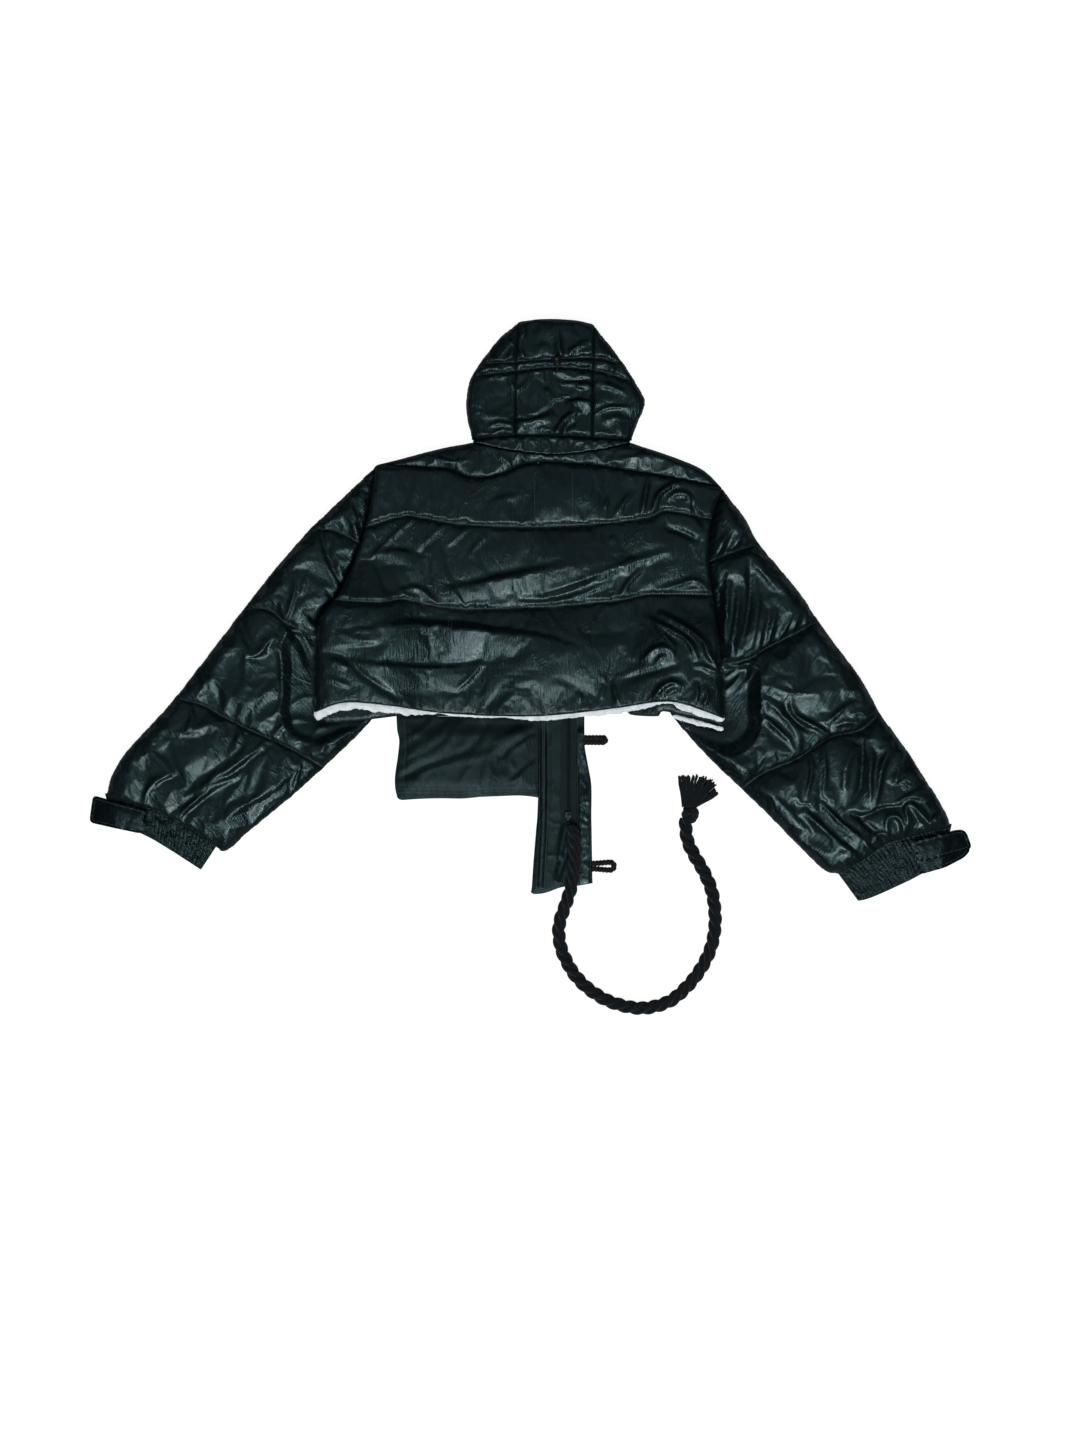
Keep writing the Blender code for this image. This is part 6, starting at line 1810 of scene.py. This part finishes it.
def fibres_tree():
    """Scatters short thin fibres over a surface, each leaning its own way."""
    tree, given, result = tree_of("fibres", Density=1e5, Length=0.003, Thickness=0.0002, Seed=4)
    scatter = {"Mesh": given["Geometry"], "Density": given["Density"], "Seed": given["Seed"]}
    spots = wire(tree, "GeometryNodeDistributePointsOnFaces", scatter).outputs
    cone = {"Vertices": 3, "Side Segments": 2, "Radius Top": 0.00003}
    cone |= {"Radius Bottom": given["Thickness"], "Depth": given["Length"]}
    fibre = put(tree, "GeometryNodeMeshCone", cone)
    leans = {"Min": (-1.1, -1.1, -3.1), "Max": (1.1, 1.1, 3.1)}
    lean = put(tree, "FunctionNodeRandomValue", leans, data_type="FLOAT_VECTOR")
    turn = put(tree, "FunctionNodeRotateRotation", {"Rotation": spots["Rotation"], "Rotate By": lean})
    size = wire(tree, "FunctionNodeRandomValue", {2: 0.35, 3: 1.0}, data_type="FLOAT").outputs[1]
    placed = {"Points": spots[0], "Instance": fibre, "Rotation": turn, "Scale": size}
    fibres = put(tree, "GeometryNodeInstanceOnPoints", placed)
    both = wire(tree, "GeometryNodeJoinGeometry")
    tree.links.new(given["Geometry"], both.inputs[0])
    tree.links.new(painted(tree, fibres, given["Finish"]), both.inputs[0])
    tree.links.new(both.outputs[0], result["Geometry"])
    return tree


def make_wadding():
    """White wadding: all along the back's cut hem, and at the wearer's right of the front's."""
    hem = through(HEM_BACK, 1.8)
    out = np.interp(hem[:, 0], *np.array(HEM_STRIP, float).T)
    out = out * (0.86 + 0.16 * uneven(hem, 11, 71))
    level = on_front(hem) + 3.4
    spine = np.column_stack([hem[:, 0], hem[:, 1] - out / 2 + 2.5, level])
    strip = fluffy("wadding_back", spine, out / 2 + 2.5, np.clip(out * 0.42, 1.2, 4.2), 8)
    low = through([(213, -157), (240, -165), (262, -170), (289, -178)], 1.8)
    spine = np.column_stack([low, lift(low) + 5.5])
    width = 3.0 + 1.6 * uneven(low, 14, 17)
    front = fluffy("wadding_front", spine, width, np.full(len(low), 2.2), 19)
    tree, rolls = fibres_tree(), []
    fleece = {"density": 1.6e5, "length": 0.0028, "thickness": 0.00016, "seed": 4, "finish": FINISHES["wadding"]}
    for roll, node in ((strip, "wadding_back"), (front, "wadding_front")):
        rolls.append(stands_for(grown(f"{node}_fleece", roll, tree, **fleece), node))
    return rolls


# ---------------------------------------------------------------- zip
ZIP_X, ZIP_END_Y = 58, -318
SLIDER_Y = -307
TAPE_LEVEL = PLACKET_THICKNESS + 0.3


def blocks(name, parts, finish):
    """Small hard blocks with rounded edges in one mesh: centre, size, edge radius and turn about z of each."""
    points, faces = [], []
    for centre, size, radius, turn in parts:
        work = bmesh.new()
        bmesh.ops.create_cube(work, size=1)
        bmesh.ops.scale(work, vec=Vector(size), verts=work.verts)
        bmesh.ops.bevel(work, geom=work.edges[:], offset=radius, segments=3, affect="EDGES", profile=0.6)
        c, s = math.cos(turn), math.sin(turn)
        start = len(points)
        work.verts.index_update()
        for v in work.verts:
            x, y, z = v.co
            points.append((centre[0] + x * c - y * s, centre[1] + x * s + y * c, centre[2] + z))
        faces += [[v.index + start for v in face.verts] for face in work.faces]
        work.free()
    return mesh_object(name, at(points), faces, finish, sharp=40)


def teeth_tree():
    """Sets small blocks along each line, to its left and right in turn."""
    tree, given, result = tree_of("zip teeth", Pitch=0.001, Width=0.003, Height=0.0015, Offset=0.001)
    spots = spots_along(tree, given)[0]
    index = put(tree, "GeometryNodeInputIndex")
    flip = maths(tree, "MULTIPLY_ADD", maths(tree, "MODULO", index, 2.0), 2.0, -1.0)
    shift = put(tree, "ShaderNodeCombineXYZ", {"X": maths(tree, "MULTIPLY", flip, given["Offset"])})
    moved = put(tree, "GeometryNodeSetPosition", {"Geometry": spots, "Offset": shift})
    depth = maths(tree, "MULTIPLY", given["Pitch"], 0.8)
    size = put(tree, "ShaderNodeCombineXYZ", {"X": given["Width"], "Y": depth, "Z": given["Height"]})
    tooth = put(tree, "GeometryNodeMeshCube", {"Size": size})
    teeth = put(tree, "GeometryNodeInstanceOnPoints", {"Points": moved, "Instance": tooth})
    tree.links.new(painted(tree, teeth, given["Finish"]), result["Geometry"])
    return tree


def make_zip():
    """Tape with a corded edge each side, two rows of coil teeth, and the slider that holds the rope."""
    low, high, left, right = ZIP_END_Y, neck_point(ZIP_X)[1] - 6, ZIP_X - 11.8, ZIP_X + 11.8
    corners = [(left, high), (left, low), (right, low), (right, high), (left, high)]
    loop = joined(*[through([a, b], step) for a, b, step in zip(corners, corners[1:], (5, 3, 5, 3), strict=False)])

    def over(p):
        across = np.abs(p[:, 0] - ZIP_X)
        return TAPE_LEVEL + 1.0 + 0.7 * bell(across - 4.6, 0.8) + 0.3 * bell(across - 9.5, 0.6)

    def under(p):
        return np.full(len(p), TAPE_LEVEL)

    creases = [np.array([(ZIP_X + x, y) for y in np.arange(high - 4, low + 4, -6)]) for x in (-9.5, -4.6, 4.6, 9.5)]
    tape = slab("zip_tape", loop, 3.4, over, under, "zip_tape", creases)
    chain = lines_object("chain", [at([(ZIP_X, high - 2, TAPE_LEVEL + 2.0), (ZIP_X, SLIDER_Y + 5, TAPE_LEVEL + 2.0)])])
    coils = {"pitch": 0.00115, "width": 0.0029, "height": 0.0017, "offset": 0.00115, "finish": FINISHES["zip_tape"]}
    teeth = stands_for(grown("zip_coils", chain, teeth_tree(), **coils), "zip_teeth")
    x, y, z = ZIP_X - 0.8, SLIDER_Y, TAPE_LEVEL + 1.3
    parts = [
        ((x, y + 1.5, z + 0.5), (9.4, 9.5, 1.0), 0.35, 0),
        ((x, y - 4.2, z + 0.5), (6.6, 5.0, 1.0), 0.35, 0),
        ((x, y + 1.5, z + 3.6), (9.4, 9.5, 1.1), 0.4, 0),
        ((x, y - 4.2, z + 3.6), (6.6, 5.0, 1.1), 0.4, 0),
        ((x, y + 4.8, z + 2.0), (2.2, 2.6, 2.6), 0.4, 0),
        ((x - 4.3, y + 0.4, z + 2.9), (0.9, 7.6, 1.6), 0.3, 0),
        ((x + 4.3, y + 0.4, z + 2.9), (0.9, 7.6, 1.6), 0.3, 0),
        ((x - 3.0, y - 4.4, z + 2.9), (0.8, 4.6, 1.6), 0.3, 0.14),
        ((x + 3.0, y - 4.4, z + 2.9), (0.8, 4.6, 1.6), 0.3, -0.14),
        ((x, y + 3.6, z + 4.7), (2.0, 1.8, 1.6), 0.5, 0),
        ((x, y - 3.4, z + 4.7), (2.0, 1.8, 1.6), 0.5, 0),
        ((x, y, z + 5.6), (1.9, 9.0, 0.9), 0.4, 0),
    ]
    slider = stands_for(blocks("slider_body", parts, "zip_metal"), "zip_slider")
    turn = np.linspace(0, 2 * math.pi, 33)
    link_y, link_z = y - 6.6 - 4.4 * np.cos(turn), z + 5.0 + 1.6 * np.cos(turn) + 0.9
    link = np.column_stack([x + 0.2 + 2.9 * np.sin(turn), link_y, link_z])
    circle = np.column_stack([np.cos(turn[:-1:4]), np.sin(turn[:-1:4])]) * 0.75 * MM
    pull = swept("pull_link", at(link), circle, "zip_metal", caps=False)
    return tape, teeth, slider, pull


# ---------------------------------------------------------------- loops, hood lock and tassel
LOOP_CORD = 9.2


def make_loops():
    """Two twisted cord loops sewn into the placket's edge: one closed up, one standing open."""
    for name, root_x, tip_x, middle_y, half_root, half_tip in (
        ("loop_upper", 81.0, 113, -193.6, 3.3, 3.4),
        ("loop_lower", 92.6, 126, -382.6, 3.9, 5.8),
    ):
        bend_x = tip_x - half_tip
        x = np.linspace(root_x, bend_x, 8)
        half = half_root + (half_tip - half_root) * smooth((x - root_x) / (bend_x - root_x))
        turn = np.linspace(math.pi / 2, -math.pi / 2, 9)[1:-1]
        bend = np.column_stack([bend_x + half_tip * np.cos(turn), middle_y + half_tip * np.sin(turn)])
        out, back = np.column_stack([x, middle_y + half]), np.column_stack([x, middle_y - half])[::-1]
        flat = np.vstack([out, bend, back])
        route = at(through(np.column_stack([flat, np.full(len(flat), LOOP_CORD / 2 + 0.05)]), 1.2))
        loop = swept(f"twisted_{name}", route, lobed(3, LOOP_CORD * MM, 24), "loop_cord", 2 * math.pi / 0.016)
        stands_for(loop, name)
        round(length_of(route), 3)


def make_hood_lock():
    """The barrel cord lock on the hood's channel, with the short end of its drawcord."""
    profile = [(0, 0), (2.2, 0), (4.6, 0.5), (5.4, 1.6), (5.5, 4.6), (5.1, 5.3), (5.1, 6.2), (5.5, 6.9), (5.5, 12.2)]
    profile += [(5.2, 13.6), (4.2, 14.3), (2.8, 14.4), (2.7, 15.4), (2.1, 16.0), (0, 16.1)]
    around = 28
    angle = np.linspace(0, 2 * math.pi, around, endpoint=False)
    lean_x, lean_y = math.cos(math.radians(8)), math.sin(math.radians(8))
    points = []
    for radius, depth in profile:
        for a in angle:
            ribbed = radius * (1 + 0.035 * math.cos(9 * a) * (6.5 < depth < 13))
            x, y, z = ribbed * math.cos(a), 8 - depth, ribbed * math.sin(a)
            points.append((39 + x * lean_x - y * lean_y, 369 + x * lean_y + y * lean_x, 46 + z))
    faces = tube_faces(len(profile), around)
    lock = outward_faces(mesh_object("barrel_lock", np.array(points) * MM, faces, "toggle", sharp=35))
    stands_for(lock, "hood_toggle")
    route = at(through([(39.5, 380, 45), (40.6, 373, 46.5), (41, 366, 46.5), (40.5, 359, 45.5), (38.5, 352, 43.5)], 1))
    cord = swept("drawcord_end", route, lobed(2, 3.2 * MM, 14), "loop_cord", 2 * math.pi / 0.009)


def make_tassel():
    """The rope's own yarns, unlaid past the knot and fanned out on the floor."""
    random = np.random.default_rng(11)
    lines, thick, stations = [], [], 22
    first, last = TASSEL_FAN
    for k in range(64):
        across = k % 32 / 31
        layer = k // 32
        angle = first + (last - first) * across + random.uniform(-0.03, 0.03)
        length = float(np.interp(across, *np.array(TASSEL_LENGTHS).T)) + random.uniform(-3, 1.5)
        bend, wave = random.uniform(-0.10, 0.10), random.uniform(0, 6)
        t = np.linspace(0, 1, stations)
        heading = angle + bend * t
        root = [left + (right - left) * across for left, right in zip(*TASSEL_ROOTS, strict=True)]
        x = root[0] + np.cumsum(np.cos(heading)) * length / stations
        y = root[1] - 5 + np.cumsum(np.sin(heading)) * length / stations
        x += 0.7 * np.sin(t * 9 + wave) * t
        z = (5.0 + 8.5 * layer) * (1 - 0.42 * t) + 5.5 * np.sin(math.pi * across) * (1 - t) * 0.6
        z += random.uniform(-0.8, 0.8)
        lines.append(at(np.column_stack([x, y, np.maximum(z, 1.6)])))
        thick.append((1.15 - 0.25 * t) * random.uniform(0.85, 1.15) * rounded(1.03 - t, 0.05))
    loose = through([(244, -291, 7), (251, -282, 6), (262, -276.4, 4), (272, -275.6, 3), (282, -272.8, 2.2)], 1.6)
    lines.append(at(loose))
    thick.append(np.linspace(1.1, 1.4, len(loose)))
    yarns = lines_object("yarns", lines, thick=thick)
    tassel = grown("fanned_tassel", yarns, yarn_tree(), radius=0.0016, sides=7, finish=FINISHES["rope"])
    return stands_for(tassel, "rope_tassel")


# ---------------------------------------------------------------- stitching
def stitch_tree():
    """Sets rounded stitches end to end along each line."""
    tree, given, result = tree_of("stitches", Pitch=0.0034, Stitch=0.0026, Thickness=0.0006)
    spots = spots_along(tree, given)
    turn = put(tree, "FunctionNodeAlignRotationToVector", {"Vector": spots["Tangent"]}, axis="Z")
    grain = put(tree, "GeometryNodeMeshIcoSphere", {"Radius": 0.5, "Subdivisions": 1})
    thickness = given["Thickness"]
    size = put(tree, "ShaderNodeCombineXYZ", {"X": thickness, "Y": thickness, "Z": given["Stitch"]})
    placed = {"Points": spots[0], "Instance": grain, "Rotation": turn, "Scale": size}
    stitches = put(tree, "GeometryNodeInstanceOnPoints", placed)
    tree.links.new(painted(tree, stitches, given["Finish"]), result["Geometry"])
    return tree


def laid_on(piece, line, proud=0.0003):
    """The stretches of a line (mm) that lie over a piece, dropped on to its upper side, in metres."""
    tree = BVHTree.FromPolygons([v.co for v in piece.data.vertices], [f.vertices for f in piece.data.polygons])
    runs = [[]]
    for x, y, _ in at(np.column_stack([line, np.zeros(len(line))])):
        hit = tree.ray_cast(Vector((x, y, 0.2)), Vector((0, 0, -1)))[0]
        if hit is None:
            runs.append([])
        else:
            runs[-1].append((x, y, hit.z + proud))
    return [np.array(run) for run in runs if len(run) > 3]


STITCHING = {  # the pieces that each set of rows is sewn through, and the rows (mm)
    "back": [*BACK_QUILTING, px(450, 618, 446, 650, 441, 680, 437, 708), px(453, 618, 449, 650, 444, 680, 440, 708),
        px(535, 474, 534.6, 500, 535, 518), px(572, 474, 572.4, 500, 572, 518)],
    "sleeve_left": SLEEVE_LEFT_QUILTING,
    "sleeve_right": SLEEVE_RIGHT_QUILTING,
    "hood_centre": HOOD_CHANNEL,
    "hood_side_left": HOOD_CHANNEL,
    "hood_side_right": HOOD_CHANNEL,
}


def make_stitching(extra):
    """Rows of stitches on the settled cloth: on every quilted panel, and along other pieces' seams."""
    lines = []
    for name, rows in STITCHING.items():
        for row in rows:
            lines += laid_on(PANELS[name]["object"], through(row, 2.0))
    for piece, rows in extra:
        for row in rows:
            lines += laid_on(piece, row, 0.0002)
    thread = grown("stitch_rows", lines_object("rows", lines), stitch_tree(), finish=FINISHES["sewing_thread"])


# ---------------------------------------------------------------- the whole jacket
def declare_cloth(cloth):
    """Prints each soft piece's flat cut and how much of that cut shows."""
    for piece, flat, held, rests_on, layers, with_pieces in cloth:
        share = sum(face.area for face in piece.data.polygons) / (layers * flat[0] * flat[1])
        print(f"{piece.name}: flat {flat[0]:.3f} x {flat[1]:.3f} m, shown over cut {share:.2f}")
        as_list(rests_on)
        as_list(with_pieces)


def main():
    make_camera()
    rope, rope_path = make_rope()
    knot = make_knot()
    tassel = make_tassel()
    make_loops()
    make_studio()

    make_back()
    make_yoke()
    make_collar()
    make_fronts()
    left_edges = ARMHOLE_LEFT, SLEEVE_LEFT_INNER, CUFF_SEAM_LEFT, SLEEVE_LEFT_OUTER
    right_edges = ARMHOLE_RIGHT[::-1], SLEEVE_RIGHT_INNER, CUFF_SEAM_RIGHT, SLEEVE_RIGHT_OUTER
    make_sleeve("sleeve_left", *left_edges, SLEEVE_LEFT_QUILTING, SIDE_LEFT, math.radians(35))
    make_sleeve("sleeve_right", *right_edges, SLEEVE_RIGHT_QUILTING, SIDE_RIGHT, math.radians(-35))
    make_hood()
    settle_cloth()

    placket, pocket = make_placket(), make_pocket()
    tape, teeth, slider, pull = make_zip()
    cuffs, straps = make_cuffs()
    tab, upper_strap, under_strap = (strap for strap, _ in straps)
    wadding = make_wadding()
    make_hood_lock()
    placket_rows = [line + [side, 0] for line in curves(WELT_LINES, 1.6) for side in (-2.6, 2.6)]
    placket_rows += [through(PLACKET_SEAM, 1.6) + [2.4, 0], through([(89, -262), (90, -330), (91, -402)], 1.6)]
    pocket_rows = curves(POCKET_STITCHING, 1.6)
    strap_rows = [(strap, [through(border, 1.6)]) for strap, border in straps]
    make_stitching([(placket, placket_rows), (pocket, pocket_rows), *strap_rows])

    stands_for(rope, "rope")
    length = length_of(rope_path)
    print(f"rope length {length:.3f} m")
    tuple(at([ROPE_ROUTE[0]])[0])
    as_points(rope_path[::2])
    declare_cloth(
        [
            (placket, (0.084, 0.675), "laid", ["floor"], 2, []),
            (pocket, (0.210, 0.124), "laid", ["floor"], 2, []),
            (tape, (0.024, 0.571), "laid", [placket.name], 2, [teeth, slider, pull]),
            (cuffs[0], (0.420, 0.062), "gathered", ["floor"], 1, []),
            (cuffs[1], (0.420, 0.062), "gathered", ["floor"], 1, []),
            (tab, (0.088, 0.040), "laid", [cuffs[0].name], 2, []),
            (upper_strap, (0.086, 0.034), "laid", [under_strap.name], 2, []),
            (under_strap, (0.086, 0.034), "laid", [cuffs[1].name], 2, []),
        ]
    )
    for thing in bpy.context.scene.objects:
        if thing.type == "MESH" and "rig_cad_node" not in thing and "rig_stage" not in thing:
            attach(thing, "root")


main()
